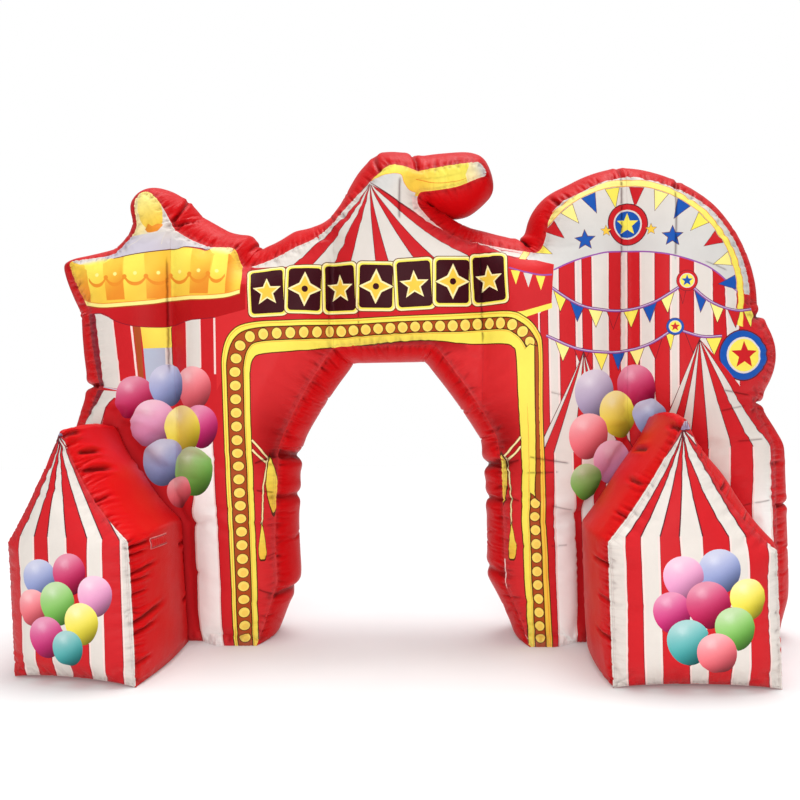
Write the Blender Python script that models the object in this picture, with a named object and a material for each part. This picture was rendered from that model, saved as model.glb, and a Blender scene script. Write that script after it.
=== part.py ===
"""Inflatable fairground arch with two tent boxes.

Metres, +Z up, the printed front faces -Y, and the whole object is centred
on its footprint with its soles on Z = 0.

The arch is one air-filled body.  Its front and back cloths share one
outline, and a gusset strip joins them and bellies outwards between the two
seams.  Four upright baffles inside tie front to back and leave a crease in
each cloth.  A house-shaped inflated tent stands against the front of each
leg.
"""
import math
from collections import namedtuple

import bpy
import bmesh
import numpy as np
from mathutils import Vector
from mathutils.geometry import delaunay_2d_cdt

# ---------------------------------------------------------------- sizes (m)
ARCH_DEPTH = 0.45        # front seam to back seam
SKIN = 0.0020            # thickness of a cloth panel as modelled
GAP = 0.0004             # clearance between a panel and its chamber
EDGE_STEP = 0.110        # spacing of points along a seam
FILL_STEP = 0.160        # spacing of points inside a panel
FRONT_CROWN = 0.30       # crown of a panel as a share of its half width
BACK_CROWN = 0.24
SEAM_SOFT = 0.060        # how gently the crown leaves the seam
TIE_HEIGHT = 0.030       # how far a baffle lets the cloth stand off
REST_FLAT = 0.020        # crown left where a tent presses on the arch
PRESS_MARGIN = 0.080     # the pressed area reaches this far round the tent
TENT_STEP = 0.125
TENT_FILL = 0.17

# baffles of the arch: x, lowest z, highest z
Baffle = namedtuple("Baffle", "x low high")
ARCH_BAFFLES = (
    Baffle(-1.53, 0.00, 2.55),
    Baffle(-0.49, 1.86, 2.66),
    Baffle(0.43, 1.50, 2.50),
    Baffle(1.34, 0.00, 2.87),
)

# The arch outline, clockwise as seen from the front.  x, z is the front
# seam; bow is how far the run to the next station bows outwards; belly_x,
# belly_z is how far the gusset stands out beyond the seam, half way back.
Station = namedtuple("Station", "name x z bow belly_x belly_z")
ARCH_OUTLINE = (
    Station("left foot outer",    -2.200, 0.000,  0.000, -0.060, 0.000),
    Station("left wall",          -2.205, 0.250,  0.000, -0.110, 0.000),
    Station("left eave",          -2.200, 1.180,  0.000, -0.110, 0.020),
    Station("left waist",         -2.020, 1.640,  0.010, -0.150, 0.000),
    Station("pavilion foot left", -2.085, 2.140,  0.010, -0.122, -0.020),
    Station("pavilion tip left",  -2.215, 2.445,  0.000, -0.125, 0.015),
    Station("pavilion roof left", -1.930, 2.475, -0.015, -0.010, 0.080),
    Station("knob foot left",     -1.755, 2.655,  0.000, -0.085, 0.080),
    Station("knob left",          -1.780, 2.800,  0.020, -0.115, 0.030),
    Station("knob top",           -1.695, 2.890,  0.010, -0.010, 0.075),
    Station("knob right",         -1.600, 2.795,  0.000,  0.095, 0.085),
    Station("knob foot right",    -1.510, 2.625, -0.010,  0.115, 0.150),
    Station("pavilion roof mid",  -1.280, 2.512,  0.000,  0.080, 0.142),
    Station("pavilion tip right", -1.120, 2.510,  0.000,  0.050, 0.090),
    Station("left valley",        -1.070, 2.372, -0.015,  0.095, 0.168),
    Station("big top eave left",  -0.735, 2.500, -0.030, -0.040, 0.150),
    Station("big top slope left", -0.454, 2.692,  0.000, -0.035, 0.055),
    Station("pole left",          -0.245, 2.905,  0.000, -0.118, 0.095),
    Station("pennant heel",       -0.130, 3.005,  0.015, -0.100, 0.135),
    Station("pennant dip",         0.045, 2.955,  0.005,  0.010, 0.155),
    Station("pennant tip top",     0.445, 3.010,  0.000,  0.030, 0.115),
    Station("pennant tip low",     0.495, 2.920, -0.005,  0.060, -0.080),
    Station("pennant underside",   0.320, 2.862,  0.005,  0.050, -0.160),
    Station("pennant root",        0.050, 2.828,  0.010,  0.130, -0.130),
    Station("neck right",          0.040, 2.765, -0.005,  0.150, 0.000),
    Station("big top slope right", 0.150, 2.632, -0.020,  0.090, 0.090),
    Station("big top eave right",  0.420, 2.495, -0.005,  0.030, 0.120),
    Station("right valley",        0.800, 2.425,  0.000, -0.120, 0.125),
    Station("dome springing",      0.845, 2.515,  0.065, -0.115, 0.050),
    Station("dome shoulder",       1.060, 2.786,  0.020, -0.070, 0.095),
    Station("dome crown",          1.343, 2.872,  0.048,  0.010, 0.120),
    Station("dome haunch",         1.860, 2.665,  0.068,  0.060, 0.070),
    Station("dome foot",           2.085, 2.040,  0.000,  0.100, 0.020),
    Station("lobe top",            2.120, 1.985,  0.090,  0.070, 0.050),
    Station("lobe foot",           2.140, 1.560,  0.000,  0.060, -0.040),
    Station("right waist",         2.105, 1.460,  0.000,  0.080, 0.000),
    Station("right eave",          2.215, 1.210,  0.000,  0.125, 0.000),
    Station("right wall",          2.225, 0.250,  0.000,  0.130, 0.000),
    Station("right foot outer",    2.200, 0.000,  0.000,  0.060, 0.000),
    Station("right foot inner",    0.700, 0.000, -0.010, -0.060, 0.000),
    Station("right ankle",         0.565, 0.350,  0.000, -0.105, 0.020),
    Station("right jamb",          0.555, 0.900, -0.010, -0.095, 0.000),
    Station("right chamfer low",   0.520, 1.290, -0.015, -0.095, -0.030),
    Station("header right",        0.140, 1.863,  0.000, -0.070, -0.095),
    Station("header left",        -0.490, 1.863, -0.020,  0.105, -0.095),
    Station("left chamfer low",   -0.850, 1.250,  0.000,  0.095, -0.030),
    Station("left jamb",          -0.875, 0.900, -0.010,  0.105, 0.000),
    Station("left ankle",         -0.875, 0.380,  0.000,  0.115, 0.020),
    Station("left foot inner",    -0.990, 0.000,  0.000,  0.060, 0.000),
)

# The two tents: x of the two side walls at the ground, how far the front
# seam stands off the arch at each wall, how far the eaves lean sideways,
# the height of each eave, the place of the apex, and how far each sloping
# roof seam dips inwards half way along.
Tent = namedtuple("Tent", "side x_left x_right out_left out_right lean "
                          "eave_left eave_right apex_x apex_z dip_left dip_right")
TENTS = (
    Tent("left", -2.210, -1.450, 0.780, 0.965, -0.035,
         0.750, 0.780, -1.895, 1.380, 0.015, 0.055),
    Tent("right", 1.075, 1.935, 0.910, 0.915, -0.015,
         0.760, 0.715, 1.472, 1.405, 0.025, 0.065),
)
FOOT_PUSH = 0.115        # the arch's front seam spreads forward at the ground
FOOT_HEIGHT = 0.30       # height over which it does so
TENT_CROWN = 0.34
WALL_BELLY = 0.060
ROOF_BELLY = 0.045
ROOF_SWELL = 0.060       # the roof stands out this far beyond a straight seam

# The stitched patch on the left tent's inner wall
PATCH_LONG = 0.225
PATCH_TALL = 0.064
PATCH_OUT = 0.640        # distance of its middle from the arch
PATCH_HEIGHT = 0.735

COLOURS = {
    "red": (0.60, 0.028, 0.035, 1.0),
    "print": (0.78, 0.42, 0.32, 1.0),
}


# ------------------------------------------------------------------ helpers
def clear_scene():
    for ob in list(bpy.data.objects):
        bpy.data.objects.remove(ob, do_unlink=True)


def cloth_material(name, colour):
    mat = bpy.data.materials.new(name)
    mat.use_nodes = True
    shader = mat.node_tree.nodes["Principled BSDF"]
    shader.inputs["Base Color"].default_value = colour
    shader.inputs["Roughness"].default_value = 0.45
    shader.inputs["Metallic"].default_value = 0.0
    return mat


def trace(stations, step):
    """Points along an outline: seam positions and belly offsets."""
    seam, belly = [], []
    count = len(stations)
    for i, a in enumerate(stations):
        b = stations[(i + 1) % count]
        dx, dz = b.x - a.x, b.z - a.z
        length = math.hypot(dx, dz)
        nx, nz = -dz / length, dx / length
        parts = max(1, round(length / step))
        for k in range(parts):
            u = k / parts
            rise = 4.0 * a.bow * u * (1.0 - u)
            seam.append((a.x + dx * u + nx * rise, a.z + dz * u + nz * rise))
            belly.append((a.belly_x + (b.belly_x - a.belly_x) * u,
                          a.belly_z + (b.belly_z - a.belly_z) * u))
    return np.array(seam), np.array(belly)


def inside(points, ring):
    """Which points lie inside a closed ring (crossing count)."""
    x, z = points[:, 0][:, None], points[:, 1][:, None]
    x0, z0 = ring[:, 0][None, :], ring[:, 1][None, :]
    x1, z1 = np.roll(ring[:, 0], -1)[None, :], np.roll(ring[:, 1], -1)[None, :]
    crosses = (z0 > z) != (z1 > z)
    dz = np.where(z1 == z0, 1.0, z1 - z0)
    at = x0 + (z - z0) * (x1 - x0) / dz
    return (np.sum(crosses & (x < at), axis=1) % 2) == 1


def edge_distance(points, ring):
    """Distance of each point from a closed ring."""
    a = ring[None, :, :]
    b = np.roll(ring, -1, axis=0)[None, :, :]
    p = points[:, None, :]
    ab = b - a
    t = np.clip(np.sum((p - a) * ab, axis=2)
                / np.maximum(np.sum(ab * ab, axis=2), 1e-12), 0.0, 1.0)
    near = a + ab * t[:, :, None]
    return np.min(np.linalg.norm(p - near, axis=2), axis=1)


def fill_panel(ring, step, lines=()):
    """Triangulate a panel: its ring, its inner lines and a staggered grid.

    Each line is (points, tied); a tied one is where a baffle holds the cloth.
    """
    points = [tuple(p) for p in ring]
    edges = [(i, (i + 1) % len(ring)) for i in range(len(ring))]
    tied = []
    clearances = []
    for path, is_tied in lines:
        keep = inside(path, ring) & (edge_distance(path, ring) > 0.4 * step)
        last = None
        for p, kept in zip(path, keep):
            if not kept:
                last = None
                continue
            if is_tied:
                tied.append(len(points))
            if last is not None:
                edges.append((last, len(points)))
            last = len(points)
            points.append(tuple(p))
        clearances.append(path[keep])
    low, high = ring.min(axis=0), ring.max(axis=0)
    row_height = step * math.sqrt(3.0) / 2.0
    grid = []
    rows = int((high[1] - low[1]) / row_height)
    columns = int((high[0] - low[0]) / step)
    for r in range(rows + 1):
        for c in range(columns + 1):
            grid.append((low[0] + (c + 0.5 * (r % 2)) * step,
                         low[1] + (r + 0.5) * row_height))
    grid = np.array(grid)
    keep = inside(grid, ring) & (edge_distance(grid, ring) > 0.45 * step)
    for along in clearances:
        if len(along):
            gap = np.min(np.linalg.norm(grid[:, None, :] - along[None, :, :], axis=2), axis=1)
            keep &= gap > 0.55 * step
    points += [tuple(p) for p in grid[keep]]
    vectors = [Vector((float(p[0]), float(p[1]))) for p in points]
    out, _, faces, source, _, _ = delaunay_2d_cdt(vectors, edges, [], 1, 1e-6)
    flat = np.array([(v.x, v.y) for v in out])
    origin = [s[0] if len(s) else -1 for s in source]
    # the ring comes first and in its own order
    order = sorted(range(len(out)), key=lambda i: origin[i] if origin[i] >= 0 else 10 ** 6)
    place = {old: new for new, old in enumerate(order)}
    flat = flat[order]
    tris = [tuple(place[v] for v in face) for face in faces]
    ties = [place[i] for i in range(len(out)) if origin[i] in set(tied)]
    return flat, tris, ties


def crown(flat, tris, rim_count, ties, share):
    """Height of an inflated panel: a membrane held at its rim and ties."""
    count = len(flat)
    stiff = np.zeros((count, count))
    load = np.zeros(count)
    for tri in tris:
        area2 = 0.0
        for k in range(3):
            i, j, o = tri[k], tri[(k + 1) % 3], tri[(k + 2) % 3]
            a, b = flat[i] - flat[o], flat[j] - flat[o]
            area2 = abs(a[0] * b[1] - a[1] * b[0])
            cot = max(0.02, float(a @ b) / max(area2, 1e-9)) * 0.5
            stiff[i, i] += cot
            stiff[j, j] += cot
            stiff[i, j] -= cot
            stiff[j, i] -= cot
        for v in tri:
            load[v] += area2 / 6.0
    held = set(range(rim_count)) | set(ties)
    free = [i for i in range(count) if i not in held]
    swell = np.zeros(count)
    swell[free] = np.linalg.solve(stiff[np.ix_(free, free)], load[free])
    height = share * (np.sqrt(2.0 * np.maximum(swell, 0.0) + SEAM_SOFT ** 2) - SEAM_SOFT)
    rim = flat[:rim_count]
    if ties:
        lift = np.minimum(TIE_HEIGHT, 0.35 * edge_distance(flat, rim))
        height = height + lift
        height[:rim_count] = 0.0
    return height


def add_object(name, verts, faces, material, smooth=True):
    mesh = bpy.data.meshes.new(name)
    mesh.from_pydata([tuple(map(float, v)) for v in verts], [], faces)
    bm = bmesh.new()
    bm.from_mesh(mesh)
    bmesh.ops.triangulate(bm, faces=bm.faces[:])
    bmesh.ops.recalc_face_normals(bm, faces=bm.faces[:])
    bm.to_mesh(mesh)
    bm.free()
    mesh.materials.append(material)
    ob = bpy.data.objects.new(name, mesh)
    bpy.context.scene.collection.objects.link(ob)
    if smooth:
        mesh.shade_smooth()
        mesh.set_sharp_from_angle(angle=math.radians(50))
    return ob


def inflated_body(name, flat, tris, rim, front, back, belly, material, levels):
    """Front and back cloths on one rim, joined by a gusset of rings."""
    count = len(flat)
    verts = [(flat[i][0], front[i], flat[i][1]) for i in range(count)]
    verts += [(flat[i][0], back[i], flat[i][1]) for i in range(count)]
    faces = [(a, b, c) for a, b, c in tris]
    faces += [(c + count, b + count, a + count) for a, b, c in tris]
    rings = [list(range(rim))]
    for level in levels:
        ring = []
        swell = 4.0 * level * (1.0 - level)
        for i in range(rim):
            ring.append(len(verts))
            verts.append((flat[i][0] + belly[i][0] * swell,
                          front[i] + (back[i] - front[i]) * level,
                          flat[i][1] + belly[i][1] * swell))
        rings.append(ring)
    rings.append([i + count for i in range(rim)])
    for a, b in zip(rings, rings[1:]):
        for i in range(rim):
            j = (i + 1) % rim
            faces.append((a[i], a[j], b[j], b[i]))
    return add_object(name, verts, faces, material)


def cloth_panel(name, flat, tris, rim, inner, direction, material):
    """A thin cloth on a chamber's face, following it triangle by triangle."""
    count = len(flat)
    verts = [(flat[i][0], inner[i], flat[i][1]) for i in range(count)]
    verts += [(flat[i][0], inner[i] + direction * SKIN, flat[i][1]) for i in range(count)]
    faces = [(a, b, c) for a, b, c in tris]
    faces += [(c + count, b + count, a + count) for a, b, c in tris]
    for i in range(rim):
        j = (i + 1) % rim
        faces.append((i, j, j + count, i + count))
    return add_object(name, verts, faces, material)


def split_path(corners, step):
    """Evenly spaced points along a polyline."""
    path = [corners[0]]
    for a, b in zip(corners, corners[1:]):
        parts = max(1, round(math.dist(a, b) / step))
        path += [(a[0] + (b[0] - a[0]) * k / parts, a[1] + (b[1] - a[1]) * k / parts)
                 for k in range(1, parts + 1)]
    return np.array(path)


# --------------------------------------------------------------------- arch
def tent_shape(tent, grow=0.0):
    return np.array([
        (tent.x_left - grow, -grow),
        (tent.x_left + tent.lean - grow, tent.eave_left + grow * 0.6),
        (tent.apex_x, tent.apex_z + grow * 1.2),
        (tent.x_right + tent.lean + grow, tent.eave_right + grow * 0.6),
        (tent.x_right + grow, -grow)])


def press_flat(flat, height):
    """Where a tent stands against the arch the cloth is pressed flat."""
    for tent in TENTS:
        shape = tent_shape(tent, PRESS_MARGIN)
        away = np.where(inside(flat, shape), 0.0, edge_distance(flat, shape))
        height = np.minimum(height, REST_FLAT + np.maximum(0.0, away - 0.002) * 0.9)
    return height


def build_arch(red, printed):
    seam, belly = trace(ARCH_OUTLINE, EDGE_STEP)
    rim = len(seam)
    lines = [(split_path([(b.x, b.low), (b.x, b.high)], FILL_STEP), True)
             for b in ARCH_BAFFLES]
    lines += [(split_path(tent_shape(t, PRESS_MARGIN), FILL_STEP), False) for t in TENTS]
    flat, tris, ties = fill_panel(seam, FILL_STEP, lines)
    rise_front = press_flat(flat, crown(flat, tris, rim, ties, FRONT_CROWN))
    rise_back = crown(flat, tris, rim, ties, BACK_CROWN)
    low = np.clip(1.0 - flat[:, 1] / FOOT_HEIGHT, 0.0, 1.0)
    push = FOOT_PUSH * low * low
    for tent in TENTS:
        shape = tent_shape(tent, PRESS_MARGIN)
        away = np.where(inside(flat, shape), 0.0, edge_distance(flat, shape))
        push = np.minimum(push, np.maximum(0.0, away - 0.002) * 0.9)
    between = (flat[:, 0] > TENTS[0].x_right) & (flat[:, 0] < TENTS[1].x_left)
    front = -np.maximum(rise_front, np.where(between, push, 0.0))
    back = ARCH_DEPTH + rise_back
    made = [
        inflated_body("arch_chamber", flat, tris, rim, front, back, belly, red,
                      (0.14, 0.5, 0.86)),
        cloth_panel("arch_front_panel", flat, tris, rim, front - GAP, -1.0, printed),
        cloth_panel("arch_back_panel", flat, tris, rim, back + GAP, 1.0, red),
    ]
    return made


# -------------------------------------------------------------------- tents
def roof_slope(name, a, b, dip):
    """The station half way along a sloping roof seam that dips inwards."""
    dx, dz = b[0] - a[0], b[1] - a[1]
    length = math.hypot(dx, dz)
    nx, nz = -dz / length, dx / length
    swell = dip + ROOF_SWELL
    return Station(name, (a[0] + b[0]) / 2.0 - nx * dip, (a[1] + b[1]) / 2.0 - nz * dip,
                   -dip / 4.0, nx * swell, nz * swell)


def build_tent(tent, red, printed):
    low = 0.150
    eave_left = (tent.x_left + tent.lean, tent.eave_left)
    eave_right = (tent.x_right + tent.lean, tent.eave_right)
    apex = (tent.apex_x, tent.apex_z)
    outline = (
        Station("foot left", tent.x_left, 0.0, 0.0, -0.030, 0.0),
        Station("wall left", tent.x_left + tent.lean * low / tent.eave_left, low,
                0.0, -WALL_BELLY, 0.0),
        Station("eave left", eave_left[0], eave_left[1],
                -tent.dip_left / 4.0, -WALL_BELLY, 0.5 * ROOF_BELLY),
        roof_slope("roof left", eave_left, apex, tent.dip_left),
        Station("apex", apex[0], apex[1], -tent.dip_right / 4.0, 0.0, ROOF_BELLY),
        roof_slope("roof right", apex, eave_right, tent.dip_right),
        Station("eave right", eave_right[0], eave_right[1],
                0.0, WALL_BELLY, 0.5 * ROOF_BELLY),
        Station("wall right", tent.x_right + tent.lean * low / tent.eave_right, low,
                0.0, WALL_BELLY, 0.0),
        Station("foot right", tent.x_right, 0.0, 0.0, 0.030, 0.0),
    )
    seam, belly = trace(outline, TENT_STEP)
    rim = len(seam)
    flat, tris, _ = fill_panel(seam, TENT_FILL)
    rise = crown(flat, tris, rim, [], TENT_CROWN)
    across = (flat[:, 0] - tent.x_left) / (tent.x_right - tent.x_left)
    stand_off = tent.out_left + (tent.out_right - tent.out_left) * across
    contact = -(REST_FLAT + GAP + SKIN + GAP)
    front = -stand_off - rise
    back = np.full(len(flat), contact)
    chamber = inflated_body("tent_%s_chamber" % tent.side, flat, tris, rim, front, back,
                            belly, red, (0.13, 0.38, 0.62, 0.87))
    panel = cloth_panel("tent_%s_front_panel" % tent.side, flat, tris, rim,
                        front - GAP, -1.0, printed)
    return [chamber, panel]


def build_patch(tent, chamber, red):
    """A small long cloth lying on the wall of the left tent."""
    bm = bmesh.new()
    bm.from_mesh(chamber.data)
    bmesh.ops.triangulate(bm, faces=bm.faces[:])
    wall = max((v for v in bm.verts
                if abs(v.co.y + PATCH_OUT) < 0.16 and abs(v.co.z - PATCH_HEIGHT) < 0.14),
               key=lambda v: v.co.x)
    reach = wall.co.x + GAP
    bm.free()
    run, rise = PATCH_LONG / 2.0, PATCH_TALL / 2.0
    corners = [(-run, -rise), (run, -rise), (run, rise), (-run, rise)]
    verts, faces = [], []
    for x in (reach, reach + SKIN):
        for dy, dz in corners:
            verts.append((x, -PATCH_OUT + dy, PATCH_HEIGHT + dz))
    faces = [(0, 1, 2, 3), (7, 6, 5, 4)]
    for i in range(4):
        j = (i + 1) % 4
        faces.append((i, i + 4, j + 4, j))
    return add_object("tent_left_patch", verts, faces, red, smooth=False)


def centre_on_footprint(objects):
    """Origin at the bottom centre of the whole object."""
    low = np.array([1e9] * 3)
    high = -low
    for ob in objects:
        co = np.array([v.co[:] for v in ob.data.vertices])
        low = np.minimum(low, co.min(axis=0))
        high = np.maximum(high, co.max(axis=0))
    shift = Vector((-(low[0] + high[0]) / 2.0, -(low[1] + high[1]) / 2.0, -low[2]))
    for ob in objects:
        for v in ob.data.vertices:
            v.co += shift
        ob.data.update()


def main():
    clear_scene()
    red = cloth_material("red_cloth", COLOURS["red"])
    printed = cloth_material("printed_cloth", COLOURS["print"])
    objects = build_arch(red, printed)
    for tent in TENTS:
        made = build_tent(tent, red, printed)
        objects += made
        if tent.side == "left":
            objects.append(build_patch(tent, made[0], red))
    centre_on_footprint(objects)


main()
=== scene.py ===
"""Looks of the inflatable fairground arch: cloth meshes, print, materials, floor, light and camera.

All lengths are metres.  The front of the object faces -Y.  "flat" means the
cloth's own x, z place on the front seam's plane, before it is inflated.
"""
import math
import time
from collections import namedtuple

import bpy
import numpy as np
from mathutils import Matrix, Vector
from mathutils.bvhtree import BVHTree
from mathutils.geometry import delaunay_2d_cdt
from mathutils.kdtree import KDTree


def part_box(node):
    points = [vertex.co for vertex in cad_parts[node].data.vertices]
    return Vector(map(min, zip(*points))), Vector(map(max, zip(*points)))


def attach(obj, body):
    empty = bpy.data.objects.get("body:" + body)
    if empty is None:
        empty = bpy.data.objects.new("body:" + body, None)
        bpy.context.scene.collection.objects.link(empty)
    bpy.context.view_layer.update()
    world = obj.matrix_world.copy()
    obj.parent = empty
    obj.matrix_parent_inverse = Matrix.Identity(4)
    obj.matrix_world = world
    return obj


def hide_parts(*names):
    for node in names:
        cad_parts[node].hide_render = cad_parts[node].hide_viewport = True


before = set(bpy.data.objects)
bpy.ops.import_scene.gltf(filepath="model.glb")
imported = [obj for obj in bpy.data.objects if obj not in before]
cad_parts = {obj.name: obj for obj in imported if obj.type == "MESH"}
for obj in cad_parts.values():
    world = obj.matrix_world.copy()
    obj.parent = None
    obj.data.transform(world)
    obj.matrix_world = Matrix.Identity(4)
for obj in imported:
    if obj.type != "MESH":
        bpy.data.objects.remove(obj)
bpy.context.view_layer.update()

# the table's origin is shifted so that the object is centred on its footprint
SHIFT_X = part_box("arch_front_panel")[0].x + 2.215
SHIFT_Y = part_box("arch_front_panel")[1].y + 0.0004

START = time.time()


def stamp(what):
    print("%s at %.1f s" % (what, time.time() - START))


# ------------------------------------------------------------ sizes (m)
ARCH_DEPTH = 0.45        # front seam to back seam
FRONT_CROWN = 0.30       # crown of a panel as a share of its half width
BACK_CROWN = 0.24
SEAM_SOFT = 0.060
TIE_HEIGHT = 0.030
REST_FLAT = 0.020        # crown left where a tent presses on the arch
PRESS_MARGIN = 0.080
FOOT_PUSH = 0.115        # the arch's front seam spreads forward at the ground
FOOT_HEIGHT = 0.30
WALL_BELLY = 0.060
ROOF_BELLY = 0.045
ROOF_SWELL = 0.060       # the roof stands out this far beyond a straight seam
TENT_CROWN = 0.34
SEAM_STEP = 0.0120       # spacing of mesh points along a seam

Baffle = namedtuple("Baffle", "x low high")
ARCH_BAFFLES = (
    Baffle(-1.53, 0.00, 2.55),
    Baffle(-0.49, 1.86, 2.66),
    Baffle(0.43, 1.50, 2.50),
    Baffle(1.34, 0.00, 2.87),
)

# the arch's seam, clockwise as seen from the front: its place, how far the
# run to the next station bows outwards, and how far the side strip stands out
# half way back
Station = namedtuple("Station", "name x z bow belly_x belly_z")
ARCH_OUTLINE = (
    Station("left foot outer",    -2.200, 0.000,  0.000, -0.060, 0.000),
    Station("left wall",          -2.205, 0.250,  0.000, -0.110, 0.000),
    Station("left eave",          -2.200, 1.180,  0.000, -0.110, 0.020),
    Station("left waist",         -2.020, 1.640,  0.010, -0.150, 0.000),
    Station("pavilion foot left", -2.085, 2.140,  0.010, -0.122, -0.020),
    Station("pavilion tip left",  -2.215, 2.445,  0.000, -0.125, 0.015),
    Station("pavilion roof left", -1.930, 2.475, -0.015, -0.010, 0.080),
    Station("knob foot left",     -1.755, 2.655,  0.000, -0.085, 0.080),
    Station("knob left",          -1.780, 2.800,  0.020, -0.115, 0.030),
    Station("knob top",           -1.695, 2.890,  0.010, -0.010, 0.075),
    Station("knob right",         -1.600, 2.795,  0.000,  0.095, 0.085),
    Station("knob foot right",    -1.510, 2.625, -0.010,  0.115, 0.150),
    Station("pavilion roof mid",  -1.280, 2.512,  0.000,  0.080, 0.142),
    Station("pavilion tip right", -1.120, 2.510,  0.000,  0.050, 0.090),
    Station("left valley",        -1.070, 2.372, -0.015,  0.095, 0.168),
    Station("big top eave left",  -0.735, 2.500, -0.030, -0.040, 0.150),
    Station("big top slope left", -0.454, 2.692,  0.000, -0.035, 0.055),
    Station("pole left",          -0.245, 2.905,  0.000, -0.118, 0.095),
    Station("pennant heel",       -0.130, 3.005,  0.015, -0.100, 0.135),
    Station("pennant dip",         0.045, 2.955,  0.005,  0.010, 0.155),
    Station("pennant tip top",     0.445, 3.010,  0.000,  0.030, 0.115),
    Station("pennant tip low",     0.495, 2.920, -0.005,  0.060, -0.080),
    Station("pennant underside",   0.320, 2.862,  0.005,  0.050, -0.160),
    Station("pennant root",        0.050, 2.828,  0.010,  0.130, -0.130),
    Station("neck right",          0.040, 2.765, -0.005,  0.150, 0.000),
    Station("big top slope right", 0.150, 2.632, -0.020,  0.090, 0.090),
    Station("big top eave right",  0.420, 2.495, -0.005,  0.030, 0.120),
    Station("right valley",        0.800, 2.425,  0.000, -0.120, 0.125),
    Station("dome springing",      0.845, 2.515,  0.065, -0.115, 0.050),
    Station("dome shoulder",       1.060, 2.786,  0.020, -0.070, 0.095),
    Station("dome crown",          1.343, 2.872,  0.048,  0.010, 0.120),
    Station("dome haunch",         1.860, 2.665,  0.068,  0.060, 0.070),
    Station("dome foot",           2.085, 2.040,  0.000,  0.100, 0.020),
    Station("lobe top",            2.120, 1.985,  0.090,  0.070, 0.050),
    Station("lobe foot",           2.140, 1.560,  0.000,  0.060, -0.040),
    Station("right waist",         2.105, 1.460,  0.000,  0.080, 0.000),
    Station("right eave",          2.215, 1.210,  0.000,  0.125, 0.000),
    Station("right wall",          2.225, 0.250,  0.000,  0.130, 0.000),
    Station("right foot outer",    2.200, 0.000,  0.000,  0.060, 0.000),
    Station("right foot inner",    0.700, 0.000, -0.010, -0.060, 0.000),
    Station("right ankle",         0.565, 0.350,  0.000, -0.105, 0.020),
    Station("right jamb",          0.555, 0.900, -0.010, -0.095, 0.000),
    Station("right chamfer low",   0.520, 1.290, -0.015, -0.095, -0.030),
    Station("header right",        0.140, 1.863,  0.000, -0.070, -0.095),
    Station("header left",        -0.490, 1.863, -0.020,  0.105, -0.095),
    Station("left chamfer low",   -0.850, 1.250,  0.000,  0.095, -0.030),
    Station("left jamb",          -0.875, 0.900, -0.010,  0.105, 0.000),
    Station("left ankle",         -0.875, 0.380,  0.000,  0.115, 0.020),
    Station("left foot inner",    -0.990, 0.000,  0.000,  0.060, 0.000),
)

# folds drawn into the side strips: nearest place on the seam, half width, the share
# of the strip's width where it begins and ends, depth, slant along the seam for
# each metre across, and how far it runs on to the front cloth
Fold = namedtuple("Fold", "x z width begin end deep slant onto")
ARCH_FOLDS = (
    Fold(-0.862, 1.190, 0.032, 0.0, 1.1, 0.020, 0.0, 0.110),
    Fold(-0.875, 0.915, 0.028, 0.0, 1.1, 0.011, 0.0, 0.080),
    Fold(-0.900, 0.290, 0.026, 0.0, 0.8, 0.014, 0.0, 0.060),
    Fold(0.542, 1.110, 0.030, 0.0, 1.1, 0.018, 0.0, 0.090),
    Fold(0.553, 0.890, 0.028, 0.0, 1.1, 0.011, 0.0, 0.070),
    Fold(0.566, 0.420, 0.026, 0.0, 0.8, 0.009, 0.0, 0.060),
    Fold(-1.535, 2.660, 0.011, 0.0, 0.62, 0.017, -0.45, 0.000),
    Fold(-1.530, 2.650, 0.011, 0.0, 0.30, 0.016, 0.80, 0.000),
    Fold(-1.085, 2.420, 0.012, 0.15, 0.70, 0.010, 0.0, 0.000),
    Fold(-0.190, 2.960, 0.013, 0.0, 0.45, 0.012, 0.3, 0.000),
    Fold(0.060, 2.956, 0.014, 0.0, 0.50, 0.012, -0.2, 0.020),
    Fold(0.040, 2.800, 0.020, 0.1, 0.80, 0.018, 0.0, 0.000),
    Fold(0.800, 2.430, 0.020, 0.1, 0.80, 0.020, 0.0, 0.000),
    Fold(0.960, 2.690, 0.012, 0.0, 0.30, 0.012, 0.2, 0.030),
    Fold(1.320, 2.872, 0.012, 0.0, 0.40, 0.013, 0.0, 0.050),
    Fold(1.645, 2.800, 0.012, 0.0, 0.40, 0.013, 0.1, 0.060),
    Fold(2.110, 2.000, 0.020, 0.0, 0.90, 0.018, 0.0, 0.040),
    Fold(2.120, 1.480, 0.020, 0.0, 0.90, 0.016, 0.0, 0.040),
    Fold(2.220, 0.840, 0.018, 0.0, 0.60, 0.011, 0.0, 0.050),
    Fold(-2.025, 1.640, 0.022, 0.0, 0.90, 0.016, 0.0, 0.040),
)
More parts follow.
